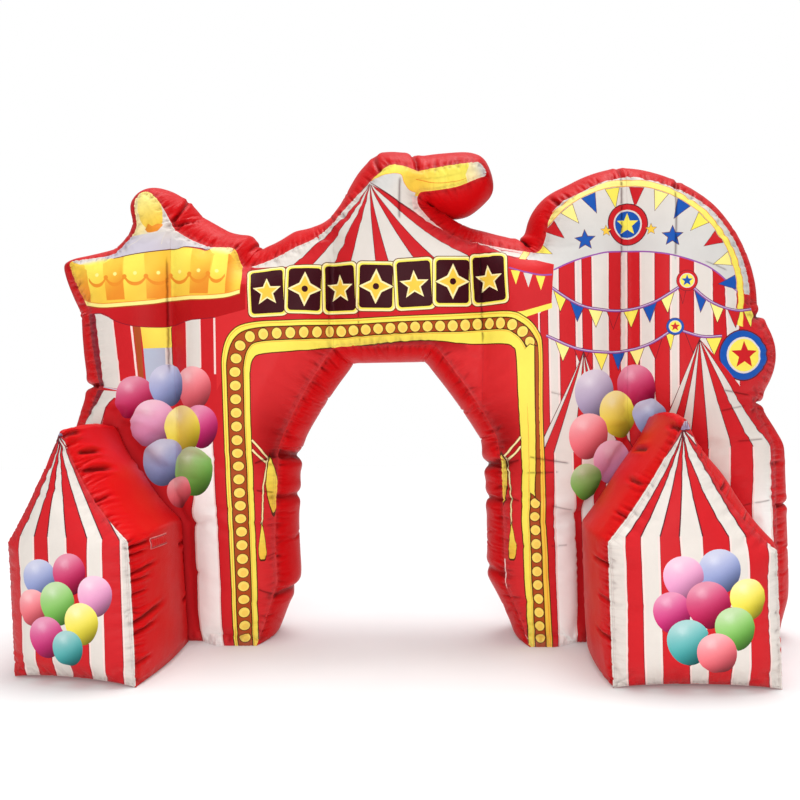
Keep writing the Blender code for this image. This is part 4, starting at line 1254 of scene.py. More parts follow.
    # tie-back cords with leaf drops in the inner field
    for side, x in ((1, -1.018), (-1, 0.662)):
        m = lambda *pts: [(x + side * px, pz) for px, pz in pts]
        for path, half in ((m((0.0, 1.285), (0.052, 1.225), (0.112, 1.150)), 0.0060),
                           (m((0.0, 1.225), (0.046, 1.172), (0.100, 1.128)), 0.0060),
                           (m((0.100, 1.150), (0.072, 1.02), (0.058, 0.86), (0.052, 0.70)), 0.0045)):
            art.line(curve(*path), half + 0.0035, "dark brown")
            art.line(curve(*path), half, "cream")
        drop = curve(*m((0.052, 0.74), (0.036, 0.66), (0.026, 0.57), (0.034, 0.526), (0.052, 0.520), (0.070, 0.528),
                        (0.076, 0.58), (0.066, 0.66), (0.052, 0.74)), count=4)
        leaf = curve(*m((0.118, 1.170), (0.094, 1.09), (0.086, 1.00), (0.098, 0.90), (0.126, 0.815), (0.148, 0.90),
                        (0.152, 1.00), (0.140, 1.09), (0.118, 1.170)), count=4)
        for ring in (drop, leaf):
            mid = ring.mean(axis=0)
            art.fill(mid + (ring - mid) * 1.14, "dark brown")
            art.fill(ring, "yellow", fade("yellow", "gold", tuple(ring.max(axis=0)), tuple(ring.min(axis=0))))
    # white hems at the walkway's edge
    art.line(curve((-0.868, 0.58), (-0.868, 0.36), (-0.905, 0.22), (-0.975, 0.02)), 0.010, "pink white")
    art.line(curve((0.560, 0.52), (0.566, 0.34), (0.620, 0.18), (0.690, 0.02)), 0.008, "pink white")
    return art


def inner_shift(path, distance):
    """Offset of a foot-to-foot line towards its inside."""
    along = np.gradient(path, axis=0)
    along /= np.maximum(np.linalg.norm(along, axis=1), 1e-9)[:, None]
    return np.stack([along[:, 1], -along[:, 0]], axis=1) * distance


def mid_line(a, b, count):
    """Half way between two foot-to-foot lines, matched by their share of the way."""
    def share(path):
        s = np.concatenate([[0.0], np.cumsum(np.linalg.norm(np.diff(path, axis=0), axis=1))])
        return s / s[-1]
    t = np.linspace(0.0, 1.0, count)
    pa = np.stack([np.interp(t, share(a), a[:, 0]), np.interp(t, share(a), a[:, 1])], axis=1)
    pb = np.stack([np.interp(t, share(b), b[:, 0]), np.interp(t, share(b), b[:, 1])], axis=1)
    return (pa + pb) / 2


def painted_shade_field(pts):
    """Painted shade: the red inside the marquee darkens towards the walkway's upper corners and along its top."""
    x, z = pts[:, 0], pts[:, 1]
    reach = np.minimum(np.abs(x + 0.87), np.abs(x - 0.54))
    corner = np.exp(-((z - 1.27) / 0.22) ** 2) * np.exp(-(reach / 0.16) ** 2)
    under = np.clip((z - 1.80) / 0.08, 0.0, 1.0) * (np.abs(x + 0.17) < 0.5)
    t = np.clip(0.75 * corner + 0.7 * under, 0.0, 1.0)[:, None]
    return ink("bright red") * (1 - t) + ink("shade red") * t


# ------------------------------------------------------------ tent fronts
# edges of the stripes: place at the eave, how the edge curves up to the apex,
# place at the foot; then the discs
TENT_PRINT = {
    "left": dict(
        apex=(-1.910, 1.350), eave=0.785, first="red",
        edges=((-2.330, 1.30, -2.300), (-2.150, 1.30, -2.131), (-2.044, 1.30, -2.044), (-1.964, 1.55, -1.938),
               (-1.844, 1.40, -1.831), (-1.726, 1.35, -1.712), (-1.637, 1.05, -1.619), (-1.538, 1.00, -1.519),
               (-1.300, 1.00, -1.300)),
        discs=((-2.015, 0.560, 0.100, 0.104, "lilac"), (-1.830, 0.590, 0.100, 0.112, "crimson"),
               (-2.060, 0.400, 0.092, 0.100, "coral"), (-1.680, 0.480, 0.098, 0.110, "pale pink"),
               (-1.905, 0.430, 0.105, 0.118, "green"), (-1.760, 0.330, 0.100, 0.112, "disc yellow"),
               (-1.975, 0.245, 0.104, 0.112, "magenta"), (-1.845, 0.190, 0.092, 0.100, "teal"))),
    "right": dict(
        apex=(1.455, 1.345), eave=0.785, first="white",
        edges=((1.000, 1.20, 1.000), (1.155, 1.28, 1.160), (1.230, 1.28, 1.242), (1.328, 1.30, 1.336),
               (1.422, 1.45, 1.474), (1.538, 1.60, 1.568), (1.670, 1.55, 1.674), (1.768, 1.06, 1.770),
               (1.868, 1.00, 1.872), (2.100, 1.00, 2.100)),
        discs=((1.620, 0.610, 0.102, 0.112, "lilac"), (1.440, 0.575, 0.100, 0.112, "pale pink"),
               (1.760, 0.470, 0.092, 0.104, "disc yellow"), (1.380, 0.400, 0.094, 0.106, "magenta"),
               (1.560, 0.440, 0.108, 0.120, "crimson"), (1.690, 0.320, 0.098, 0.110, "green"),
               (1.460, 0.250, 0.106, 0.116, "teal"), (1.600, 0.190, 0.098, 0.108, "coral"))),
}


def tent_print(side):
    spec = TENT_PRINT[side]
    art = Print("red")
    apex, eave = spec["apex"], spec["eave"]
    art.fan(apex, eave, [(e[0], e[1]) for e in spec["edges"]], spec["first"], step=0.03, outline=0.0035)
    stripes(art, [e[0] for e in spec["edges"]], [e[2] for e in spec["edges"]], eave, -0.05, spec["first"])
    tip = np.array(apex)
    art.fill([tip + (-0.10, 0.10), tip + (-0.030, -0.006), tip + (0.030, -0.006), tip + (0.10, 0.10)], "lilac grey",
             fade("violet grey", "lilac grey", tuple(tip + (0, 0.0)), tuple(tip + (0, 0.05))))
    for k in range(-2, 3):
        art.line([tip + (0.012 * k, 0.05), tip + (0.010 * k, -0.006)], 0.0012, "line")
    art.line([tip + (-0.034, -0.006), tip + (0.034, -0.006)], 0.003, "line")
    for x, z, rx, rz, name in spec["discs"]:
        art.disc(x, z, rx, rz, name, 0.1)
    return art


# ------------------------------------------------------------ print on cloth
def topmost(art, pts):
    """Index of the shape that shows at each point, or -1 for the ground."""
    out = np.full(len(pts), -1)
    for k, s in enumerate(art.shapes):
        low, high = s.ring.min(axis=0), s.ring.max(axis=0)
        some = np.where(np.all((pts >= low) & (pts <= high), axis=1))[0]
        if len(some):
            out[some[inside(pts[some], s.ring)]] = k
    return out


def print_edges(art, ring):
    """The parts of the shapes' outlines that show on the panel, as short straight pieces."""
    starts, ends = [], []
    for s in art.shapes:
        a, b = s.ring, np.roll(s.ring, -1, axis=0)
        size = np.linalg.norm(b - a, axis=1)
        for p, q, length in zip(a, b, size):
            if length < 1e-5:
                continue
            t = np.linspace(0.0, 1.0, max(1, int(math.ceil(length / 0.026))) + 1)[:, None]
            line = p + (q - p) * t
            starts.append(line[:-1])
            ends.append(line[1:])
    a, b = np.concatenate(starts), np.concatenate(ends)
    mid, d = (a + b) / 2, b - a
    normal = np.stack([-d[:, 1], d[:, 0]], axis=1) / np.linalg.norm(d, axis=1)[:, None]
    low, high = ring.min(axis=0) - 0.03, ring.max(axis=0) + 0.03
    near = np.all((mid > low) & (mid < high), axis=1)
    a, b, mid, normal = a[near], b[near], mid[near], normal[near]
    left, right = topmost(art, mid + normal * 0.0005), topmost(art, mid - normal * 0.0005)
    look = [(s.ink, id(s.tint) if s.tint else 0) for s in art.shapes] + [(art.ground, 0)]
    keep = np.array([look[i] != look[j] for i, j in zip(left, right)])
    a, b, mid = a[keep], b[keep], mid[keep]
    on = inside(mid, ring) | (edge_distance(mid, ring[::2]) < 0.018)
    return a[on], b[on]


EYE = np.array([0.315, -5.759, 1.500])      # the camera, in the table's coordinates


def spots(tree, tris, corners, flat):
    """The triangle under each flat place, and the place's share of each corner."""
    found = np.array([tree.find_nearest((p[0], p[1], 0.0))[2] for p in flat])
    t = tris[found]
    a, b, c = (corners[t[:, k]] for k in range(3))
    area = (b[:, 0] - a[:, 0]) * (c[:, 1] - a[:, 1]) - (b[:, 1] - a[:, 1]) * (c[:, 0] - a[:, 0])
    v = ((flat[:, 0] - a[:, 0]) * (c[:, 1] - a[:, 1]) - (flat[:, 1] - a[:, 1]) * (c[:, 0] - a[:, 0])) / area
    w = ((b[:, 0] - a[:, 0]) * (flat[:, 1] - a[:, 1]) - (b[:, 1] - a[:, 1]) * (flat[:, 0] - a[:, 0])) / area
    share = np.clip(np.stack([1.0 - v - w, v, w], axis=1), 0.0, 1.0)
    return t, share / share.sum(axis=1)[:, None]


class Sight:
    """The print is drawn as it shows on the seam's plane from in front; the crown of
    the inflated cloth moves it, so this turns drawn places into flat ones and back."""

    def __init__(self, form, x0=0.0, y0=0.0, slope=0.0):
        self.form = form
        self.tree = BVHTree.FromPolygons([Vector((p[0], p[1], 0.0)) for p in form.front_flat],
                                         [tuple(int(i) for i in t) for t in form.front_tris], all_triangles=True)
        ray = form.design[:form.nf] - EYE
        t = (y0 - slope * (EYE[0] - x0) - EYE[1]) / (ray[:, 1] + slope * ray[:, 0])
        drawn = np.stack([EYE[0] + t * ray[:, 0], EYE[2] + t * ray[:, 2]], axis=1)
        self.move = drawn - form.front_flat

    def drawn(self, flat):
        t, share = spots(self.tree, self.form.front_tris, self.form.front_flat, flat)
        return flat + np.einsum("ij,ijk->ik", share, self.move[t])

    def flat(self, drawn):
        out = drawn.copy()
        for _ in range(8):
            out = out + (drawn - self.drawn(out))
        return out


def split_ring(ring):
    """The ring with a point added half way along each side."""
    out = np.empty((len(ring) * 2, ring.shape[1]))
    out[0::2], out[1::2] = ring, (ring + np.roll(ring, -1, axis=0)) / 2
    return out


def printed_mesh(art, form, sight, rows, creases=()):
    """Triangles of a panel cut along every printed edge: flat places and triangles."""
    seam = form.body.seam
    ring = split_ring(seam)
    n = len(ring)
    a, b = print_edges(art, seam)
    a, b = sight.flat(a), sight.flat(b)
    tree = KDTree(len(a) * 3)
    for i, (p, q) in enumerate(zip(a, b)):
        for k, t in enumerate((0.0, 0.33, 0.67)):
            tree.insert((p[0] + (q[0] - p[0]) * t, p[1] + (q[1] - p[1]) * t, 0.0), i * 3 + k)
    tree.balance()
    discs = []
    for s in art.shapes:
        if s.tint is not None and len(s.ring) == 36:
            mid = s.ring.mean(axis=0)
            for share, every in ((0.82, 1), (0.62, 2), (0.42, 2), (0.20, 4)):
                discs.append(mid + (s.ring[::every] - mid) * share)
    groups, gaps = [], []
    for c in creases:
        ends = sight.flat(np.array([(c.x0, c.z0), (c.x1, c.z1)]))
        run = ends[1] - ends[0]
        size = np.linalg.norm(run)
        side = np.array([-run[1], run[0]]) / size * c.width
        t = np.linspace(0.0, 1.0, int(size / 0.010) + 2)[:, None]
        for off in (0.0, -1.0, 1.0, -2.1, 2.1):
            groups.append(ends[0] + run * t + side * off)
            gaps.append(0.0050)
    if discs:
        groups.append(sight.flat(np.concatenate(discs)))
        gaps.append(0.0070)
    ahead, behind = np.roll(ring, -1, axis=0), np.roll(ring, 1, axis=0)
    along = (ahead - behind) / np.linalg.norm(ahead - behind, axis=1)[:, None]
    inward = np.stack([along[:, 1], -along[:, 0]], axis=1)
    for deep in rows:
        row = ring + inward * deep
        groups.append(row[edge_distance(row, seam) > 0.9 * deep])
        gaps.append(0.0070)
    groups.append(form.front_flat[form.n:])
    gaps.append(0.0075)
    taken = {}
    base = []
    for group, gap in zip(groups, gaps):
        group = group[inside(group, seam)]
        for p in group:
            if tree.find((p[0], p[1], 0.0))[2] < min(0.0048, gap * 0.7):
                continue
            cx, cz = int(p[0] // 0.01), int(p[1] // 0.01)
            if any((p[0] - q[0]) ** 2 + (p[1] - q[1]) ** 2 < gap * gap * 0.55
                   for i in (cx - 1, cx, cx + 1) for j in (cz - 1, cz, cz + 1) for q in taken.get((i, j), ())):
                continue
            taken.setdefault((cx, cz), []).append((p[0], p[1]))
            base.append((p[0], p[1]))
    points = np.concatenate([ring, np.array(base), a, b])
    first, m = n + len(base), len(a)
    edges = [(i, (i + 1) % n) for i in range(n)] + [(first + i, first + m + i) for i in range(m)]
    vectors = [Vector((float(p[0]), float(p[1]))) for p in points]
    out, _, faces, _, _, _ = delaunay_2d_cdt(vectors, edges, [], 0, 2e-5)
    flat = np.array([(v.x, v.y) for v in out])
    tris = np.array([f for f in faces if len(f) == 3])
    tris = tris[inside(flat[tris].mean(axis=1), seam)]
    used = np.unique(tris)
    index = np.full(len(flat), -1)
    index[used] = np.arange(len(used))
    return flat[used], index[tris]


def lay_on(form, sight, flat, round_off=0.75):
    """Where flat places of the front panel are once the cloth is settled, and the normals there."""
    verts, tris = form.verts[:form.nf], form.front_tris
    normal = mesh_normals(verts, tris)
    t, share = spots(sight.tree, tris, form.front_flat, flat)
    corner, side = verts[t], normal[t]
    place = np.einsum("ij,ijk->ik", share, corner)
    off = np.einsum("ijk,ijk->ij", place[:, None, :] - corner, side)
    bent = np.einsum("ij,ijk->ik", share, place[:, None, :] - off[:, :, None] * side)
    rim = edge_distance(flat, form.body.seam)
    give = round_off * np.clip((rim - 0.0005) / 0.006, 0.0, 1.0)[:, None]
    place = place + (bent - place) * give
    out = np.einsum("ij,ijk->ik", share, side)
    return place, out / np.linalg.norm(out, axis=1)[:, None], rim


def on_ground(z):
    """Nought on the floor, rising to one a little above it."""
    return np.clip((z - 0.004) / 0.03, 0.0, 1.0)


def linear(rgb):
    """sRGB from 0 to 255 to linear light."""
    c = np.clip(np.asarray(rgb, float) / 255.0, 0.0, 1.0)
    return np.where(c <= 0.04045, c / 12.92, ((c + 0.055) / 1.055) ** 2.4)


def along_rim(flat, seam, seam_s):
    """Distance along the seam of the seam point nearest to each place."""
    tree = KDTree(len(seam))
    for i, p in enumerate(seam):
        tree.insert((p[0], p[1], 0.0), i)
    tree.balance()
    near = np.array([tree.find((p[0], p[1], 0.0))[1] for p in flat])
    ahead = np.roll(seam, -1, axis=0)[near] - np.roll(seam, 1, axis=0)[near]
    ahead /= np.maximum(np.linalg.norm(ahead, axis=1), 1e-9)[:, None]
    return seam_s[near] + np.sum((flat - seam[near]) * ahead, axis=1)


# ------------------------------------------------------------ pieces
def make_piece(name, verts, faces, cloth, rim, material, colours=None, normals=None, hollow=None):
    """A mesh object with two UV maps in metres: place on the cloth, and place by the seam.
    hollow: how far each vertex lies down in a crease, from nought to one; the materials darken the cloth by it as
    painted shade."""
    mesh = bpy.data.meshes.new(name)
    mesh.from_pydata([(float(v[0]) + SHIFT_X, float(v[1]) + SHIFT_Y, float(v[2])) for v in verts], [],
                     [tuple(int(i) for i in f) for f in faces])
    for layer, values in (("cloth", cloth), ("rim", rim)):
        uv = mesh.uv_layers.new(name=layer)
        uv.uv.foreach_set("vector", np.asarray(values, np.float32).ravel())
    if colours is not None:
        attribute = mesh.color_attributes.new("ink", "FLOAT_COLOR", "CORNER")
        full = np.ones((len(colours), 4), np.float32)
        full[:, :3] = colours
        attribute.data.foreach_set("color", full.ravel())
    deep = mesh.attributes.new("hollow", "FLOAT", "POINT")
    deep.data.foreach_set("value", np.zeros(len(verts), np.float32) if hollow is None
                          else np.clip(hollow, 0.0, 1.0).astype(np.float32))
    mesh.materials.append(material)
    mesh.shade_smooth()
    if normals is not None:
        mesh.normals_split_custom_set_from_vertices([tuple(v) for v in normals])
    mesh.update()
    ob = bpy.data.objects.new(name, mesh)
    bpy.context.scene.collection.objects.link(ob)
    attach(ob, "root")
    return ob


FINE_DEPTH = 0.0100      # depth of the fine creases at the seams


def line_creases(creases, sight, flat):
    """Depth of the placed creases of a front panel: narrow grooves along straight lines."""
    out = np.zeros(len(flat))
    for c in creases:
        ends = sight.flat(np.array([(c.x0, c.z0), (c.x1, c.z1)]))
        run = ends[1] - ends[0]
        size = np.linalg.norm(run)
        t = (flat - ends[0]) @ run / size ** 2
        off = (flat - ends[0]) @ np.array([-run[1], run[0]]) / size
        fade = np.clip(t / 0.10, 0.0, 1.0) * np.clip((1.0 - t) / 0.10, 0.0, 1.0)
        out = np.maximum(out, c.deep * fade * np.exp(-(off / c.width) ** 2))
    return out


def print_piece(name, art, form, sight, material, rows, tight=1.0, depth=FINE_DEPTH, creases=()):
    flat, tris = printed_mesh(art, form, sight, rows, creases)
    place, normals, rim = lay_on(form, sight, flat)
    s = along_rim(flat, form.body.seam, form.seam_s)
    groove = pucker_field(s, rim * tight, form.total, form.fine_front, 0.0, rim) * on_ground(place[:, 2])
    drawn_in = line_creases(creases, sight, flat)
    corners, share = spots(sight.tree, form.front_tris, form.front_flat, flat)
    # the creases' depth, by which the material paints shade into them
    hollow = np.einsum("ij,ij->i", share, form.hollow[corners]) - 0.85 * groove + 250.0 * drawn_in
    place = place + normals * (groove * depth - drawn_in)[:, None]
    blend = np.clip(np.maximum(1.0 - (rim - 0.05) / 0.12, drawn_in / 0.0008), 0.0, 1.0)[:, None]
    normals = normals * (1.0 - blend) + mesh_normals(place, tris) * blend
    normals /= np.linalg.norm(normals, axis=1)[:, None]
    drawn = sight.drawn(flat)
    top = topmost(art, drawn[tris].mean(axis=1))
    colours = np.empty((len(tris), 3, 3))
    for k in np.unique(top):
        some = top == k
        if k < 0:
            colours[some] = linear(INK[art.ground])
        elif art.shapes[k].tint is None:
            colours[some] = linear(INK[art.shapes[k].ink])
        else:
            corners = drawn[tris[some]].reshape(-1, 2)
            colours[some] = linear(art.shapes[k].tint(corners)).reshape(-1, 3, 3)
    ob = make_piece(name, place, tris, flat[tris].reshape(-1, 2),
                    np.stack([s, np.minimum(rim, 0.20)], axis=1)[tris].reshape(-1, 2), material,
                    colours.reshape(-1, 3), normals, hollow)
    stamp("%s: %d points, %d triangles" % (name, len(flat), len(tris)))
    return ob


def recess(form, at, flat, tris, step=0.014):
    """A closing wall just inside a panel, level with it at the rim."""
    verts = form.verts[at:at + len(flat)]
    normal = mesh_normals(verts, tris)
    rim = edge_distance(flat, form.body.seam[::2])
    deep = np.clip(rim / 0.020, 0.0, 1.0) * step
    deep[:form.n] = 0.0
    return verts - normal * deep[:, None]


def split_rim(tris, n, mid):
    """Triangles with those on the rim cut in two at the rim's added points."""
    out = []
    for t in tris:
        for k in range(3):
            p, q, r = t[k], t[(k + 1) % 3], t[(k + 2) % 3]
            if p < n and q < n and (q == (p + 1) % n or p == (q + 1) % n):
                m = mid + (p if q == (p + 1) % n else q)
                out += [(p, m, r), (m, q, r)]
                break
        else:
            out.append(tuple(t))
    return np.array(out)


def body_piece(name, form, material, depth=FINE_DEPTH):
    """The side strip with the sole, closed by walls just inside the two panels."""
    n = form.n
    s = split_ring(form.seam_s[:, None])[:, 0]
    s[-1] = (form.seam_s[-1] + form.total) / 2
    width = split_ring(form.strip_width[:, None])[:, 0]
    rings = []
    hollow = np.concatenate([split_ring(form.hollow[ids][:, None])[:, 0] for ids in form.rings])
    for k, ids in enumerate(form.rings):
        here = form.verts[ids]
        out = split_ring(here)
        if 0 < k < len(form.rings) - 1:      # smooth between the old points
            out[1::2] = (9.0 * (here + np.roll(here, -1, axis=0)) - np.roll(here, 1, axis=0)
                         - np.roll(here, -2, axis=0)) / 16.0
            out[:, 2] = np.maximum(out[:, 2], 0.0)
        rings.append(out)
    count = n * 2
    strip = np.concatenate(rings)
    quads = []
    for k in range(len(rings) - 1):
        a = k * count + np.arange(count)
        b = k * count + np.roll(np.arange(count), -1)
        quads.append(np.stack([a, b, b + count, a + count], axis=1))
    quads = np.concatenate(quads)
    normal = mesh_normals(strip, np.concatenate([quads[:, [0, 1, 2]], quads[:, [0, 2, 3]]]))
    lift = np.zeros(len(strip))
    for k in range(1, len(rings) - 1):
        t = form.levels[k]
        lift[k * count:(k + 1) * count] = (
            pucker_field(s, t * width * 1.15, form.total, form.fine_front, hold=0.0)
            + pucker_field(s, (1.0 - t) * width * 1.15, form.total, form.fine_back, hold=0.0))
    lift *= on_ground(strip[:, 2])
    strip = strip + normal * (lift * depth)[:, None]
    hollow = hollow - 0.85 * lift
    # closing walls
    front = recess(form, 0, form.front_flat, form.front_tris)[n:]
    back = recess(form, form.base, form.back_flat, form.back_tris - form.base)[n:]
    total = len(strip)
    ft, bt = split_rim(form.front_tris, n, form.nf), split_rim(form.back_tris - form.base, n, form.nb)

    def renumber(t, own, inner_at, ring_at):
        out = np.where(t < n, ring_at + 2 * t, inner_at + t - n)
        return np.where(t >= own, ring_at + 2 * (t - own) + 1, out)
    front_faces = renumber(ft, form.nf, total, 0)
    back_faces = renumber(bt, form.nb, total + len(front), (len(rings) - 1) * count)
    verts = np.concatenate([strip, front, back])
    nxt, w_next = np.append(s[1:], form.total), np.roll(width, -1)
    cloth, rim = [], []
    for k in range(len(rings) - 1):
        t0, t1 = form.levels[k], form.levels[k + 1]
        cloth.append(np.stack([np.stack([s, t0 * width], 1), np.stack([nxt, t0 * w_next], 1),
                               np.stack([nxt, t1 * w_next], 1), np.stack([s, t1 * width], 1)], axis=1))
        e0, e1 = min(t0, 1 - t0), min(t1, 1 - t1)
        rim.append(np.stack([np.stack([s, e0 * width], 1), np.stack([nxt, e0 * w_next], 1),
                             np.stack([nxt, e1 * w_next], 1), np.stack([s, e1 * width], 1)], axis=1))
    inner = np.concatenate([front_faces, back_faces])
    cloth = np.concatenate([np.concatenate(cloth).reshape(-1, 2), verts[inner.ravel()][:, [0, 2]]])
    rim = np.concatenate([np.concatenate(rim).reshape(-1, 2), np.full((len(inner) * 3, 2), 0.20)])
    ob = make_piece(name, verts, list(quads) + list(inner), cloth, rim, material,
                    hollow=np.concatenate([hollow, np.zeros(len(verts) - total)]))
    stamp("%s: %d triangles" % (name, len(quads) * 2 + len(inner)))
    return ob


def back_piece(name, form, material):
    """The back panel, with its own fine creases."""
    verts = form.verts[form.base:form.base + form.nb]
    tris = form.back_tris - form.base
    flat = form.back_flat
    away = edge_distance(flat, form.body.seam[::2])
    away[:form.n] = 0.0
    s = along_rim(flat, form.body.seam, form.seam_s)
    groove = pucker_field(s, away, form.total, form.fine_back, hold=0.0) * on_ground(verts[:, 2])
    verts = verts + mesh_normals(verts, tris) * (groove * FINE_DEPTH)[:, None]
    hollow = form.hollow[form.base:form.base + form.nb] - 0.85 * groove
    ob = make_piece(name, verts, tris, flat[tris].reshape(-1, 2),
                    np.stack([s, np.minimum(away, 0.20)], axis=1)[tris].reshape(-1, 2), material, hollow=hollow)
    stamp("%s: %d triangles" % (name, len(tris)))
    return ob


# ------------------------------------------------------------ materials
class Nodes:
    """Short helper round one material's node tree."""

    def __init__(self, name):
        self.material = bpy.data.materials.new(name)
        self.material.use_nodes = True
        self.tree = self.material.node_tree
        self.shader = self.tree.nodes["Principled BSDF"]

    def add(self, kind, **settings):
        node = self.tree.nodes.new(kind)
        for key, value in settings.items():
            setattr(node, key, value)
        return node

    def plug(self, socket, value):
        if isinstance(value, bpy.types.NodeSocket):
            self.tree.links.new(value, socket)
        else:
            socket.default_value = value

    def maths(self, operation, *values, clamp=False):
        node = self.add("ShaderNodeMath", operation=operation, use_clamp=clamp)
        for k, value in enumerate(values):
            self.plug(node.inputs[k], value)
        return node.outputs[0]

    def noise(self, vector, scale, detail=3.0, rough=0.55, distortion=0.0):
        node = self.add("ShaderNodeTexNoise")
        self.plug(node.inputs["Vector"], vector)
        node.inputs["Scale"].default_value = scale
        node.inputs["Detail"].default_value = detail
        node.inputs["Roughness"].default_value = rough
        node.inputs["Distortion"].default_value = distortion
        return node.outputs[0]

    def span(self, value, low, high, out_low, out_high):
        node = self.add("ShaderNodeMapRange")
        for k, v in enumerate((value, low, high, out_low, out_high)):
            self.plug(node.inputs[k], v)
        return node.outputs[0]

    def mix(self, factor, a, b, blend="MIX"):
        node = self.add("ShaderNodeMix", data_type="RGBA", blend_type=blend)
        self.plug(node.inputs[0], factor)
        self.plug(node.inputs[6], a)
        self.plug(node.inputs[7], b)
        return node.outputs[2]


def cloth_material(name, ink=None, thread=(0.30, 0.02, 0.03), baffles=(), shine=0.40, crinkle=1.0,
                   rub=0.045, rub_reach=0.030):
    """Coated polyester cloth: weave, crinkles, rows of stitches, wear at seams, dust near the ground, and painted shade
    in the creases.
    """
    n = Nodes(name)
    place = n.add("ShaderNodeTexCoord").outputs["Object"]
    cloth = n.add("ShaderNodeUVMap", uv_map="cloth").outputs[0]
    rim = n.add("ShaderNodeSeparateXYZ")
    n.plug(rim.inputs[0], n.add("ShaderNodeUVMap", uv_map="rim").outputs[0])
    along, away = rim.outputs[0], rim.outputs[1]
    spot = n.add("ShaderNodeSeparateXYZ")
    n.plug(spot.inputs[0], place)
    cut = n.add("ShaderNodeSeparateXYZ")
    n.plug(cut.inputs[0], cloth)
    if ink is None:
        colour = n.add("ShaderNodeAttribute", attribute_name="ink", attribute_type="GEOMETRY").outputs[0]
    else:
        rgb = n.add("ShaderNodeRGB")
        rgb.outputs[0].default_value = (*linear(ink), 1.0)
        colour = rgb.outputs[0]
    # uneven dye and sun: slow drifts of value over the cloth
    drift = n.noise(place, 1.6, 2.0, 0.5)
    cloud = n.noise(place, 9.0, 4.0, 0.6, 0.4)
    value = n.maths("MULTIPLY", n.span(drift, 0.3, 0.7, 0.955, 1.035), n.span(cloud, 0.3, 0.7, 0.975, 1.02))
    shade = n.add("ShaderNodeCombineColor")
    for k in range(3):
        n.plug(shade.inputs[k], value)
    colour = n.mix(1.0, colour, shade.outputs[0], "MULTIPLY")
    # the weave, two threads crossing every 2.4 mm
    warp = n.maths("SINE", n.maths("MULTIPLY", cut.outputs[0], 2618.0))
    weft = n.maths("SINE", n.maths("MULTIPLY", cut.outputs[1], 2618.0))
    weave = n.maths("MULTIPLY", warp, weft)
    thread_tone = n.span(weave, -1.0, 1.0, 0.985, 1.015)
    tone = n.add("ShaderNodeCombineColor")
    for k in range(3):
        n.plug(tone.inputs[k], thread_tone)
    colour = n.mix(1.0, colour, tone.outputs[0], "MULTIPLY")
    # rubbed, slightly bleached cloth beside the seams
    rubbed = n.span(away, 0.0, rub_reach, 1.0, 0.0)
    rubbed = n.maths("MULTIPLY", rubbed, n.span(n.noise(place, 26.0, 3.0, 0.6), 0.40, 0.70, rub * 0.3, rub))
    colour = n.mix(rubbed, colour, (0.93, 0.80, 0.78, 1.0))
    # dust and scuffs near the ground
    low = n.span(spot.outputs[2], 0.0, 0.16, 1.0, 0.0)
    dust = n.maths("MULTIPLY", low, n.span(n.noise(place, 14.0, 5.0, 0.7), 0.45, 0.75, 0.0, 0.16))
    colour = n.mix(dust, colour, (0.34, 0.29, 0.25, 1.0))
    # a double row of stitches beside each seam, and one row down each baffle
    dash = n.maths("LESS_THAN", n.maths("FRACT", n.maths("MULTIPLY", along, 150.0)), 0.64)
    rows = None
    for at in (0.0070, 0.0135):
        row = n.maths("LESS_THAN", n.maths("ABSOLUTE", n.maths("SUBTRACT", away, at)), 0.0009)
        rows = row if rows is None else n.maths("MAXIMUM", rows, row)
    stitch = n.maths("MULTIPLY", rows, dash)
    if baffles:
        dash_up = n.maths("LESS_THAN", n.maths("FRACT", n.maths("MULTIPLY", cut.outputs[1], 150.0)), 0.64)
        for b in baffles:
            line = n.maths("LESS_THAN", n.maths("ABSOLUTE", n.maths("SUBTRACT", cut.outputs[0], b.x)), 0.0012)
            line = n.maths("MULTIPLY", line, n.maths("GREATER_THAN", cut.outputs[1], b.low))
            line = n.maths("MULTIPLY", line, n.maths("LESS_THAN", cut.outputs[1], b.high))
            stitch = n.maths("MAXIMUM", stitch, n.maths("MULTIPLY", line, dash_up))
    colour = n.mix(n.maths("MULTIPLY", stitch, 0.34), colour, (*thread, 1.0))
    # grime and shade gather in the creases
    # painted shade: the cloth is darkened in its creases and between the bumped ridges beside the seams
    hollow = n.add("ShaderNodeAttribute", attribute_name="hollow", attribute_type="GEOMETRY").outputs["Fac"]
    hollow = n.maths("POWER", n.maths("MAXIMUM", hollow, 0.0), 1.55)
    fan = n.add("ShaderNodeCombineXYZ")
    n.plug(fan.inputs[0], n.maths("MULTIPLY", along, 26.0))
    n.plug(fan.inputs[1], n.maths("MULTIPLY", away, 4.0))
    ridge = n.maths("ABSOLUTE", n.maths("SUBTRACT", n.noise(fan.outputs[0], 1.0, 2.0, 0.5, 0.8), 0.5))
    ridge = n.maths("POWER", n.span(ridge, 0.0, 0.14, 0.0, 1.0), 0.6)
    near_seam = n.maths("POWER", n.span(away, 0.0, 0.15, 1.0, 0.0), 1.3)
    crease_shade = n.maths("MULTIPLY", n.maths("SUBTRACT", 1.0, ridge), n.maths("MULTIPLY", near_seam, 0.12))
    crease_shade = n.maths("ADD", crease_shade, n.maths("MULTIPLY", hollow, 0.82), clamp=True)
    colour = n.mix(crease_shade, colour, n.mix(1.0, colour, (0.21, 0.15, 0.165, 1.0), "MULTIPLY"))
    n.plug(n.shader.inputs["Base Color"], colour)
    # gloss of the coating, duller where rubbed or dusty
    rough = n.span(n.noise(place, 6.0, 3.0, 0.6), 0.3, 0.7, shine - 0.05, shine + 0.07)
    rough = n.maths("ADD", rough, n.maths("MULTIPLY", n.maths("ADD", rubbed, dust), 0.35), clamp=True)
    n.plug(n.shader.inputs["Roughness"], rough)
    n.shader.inputs["Specular IOR Level"].default_value = 0.075
    n.shader.inputs["Sheen Weight"].default_value = 0.006
    n.shader.inputs["Sheen Roughness"].default_value = 0.45
    n.shader.inputs["Coat Weight"].default_value = 0.02
    n.shader.inputs["Coat Roughness"].default_value = 0.30
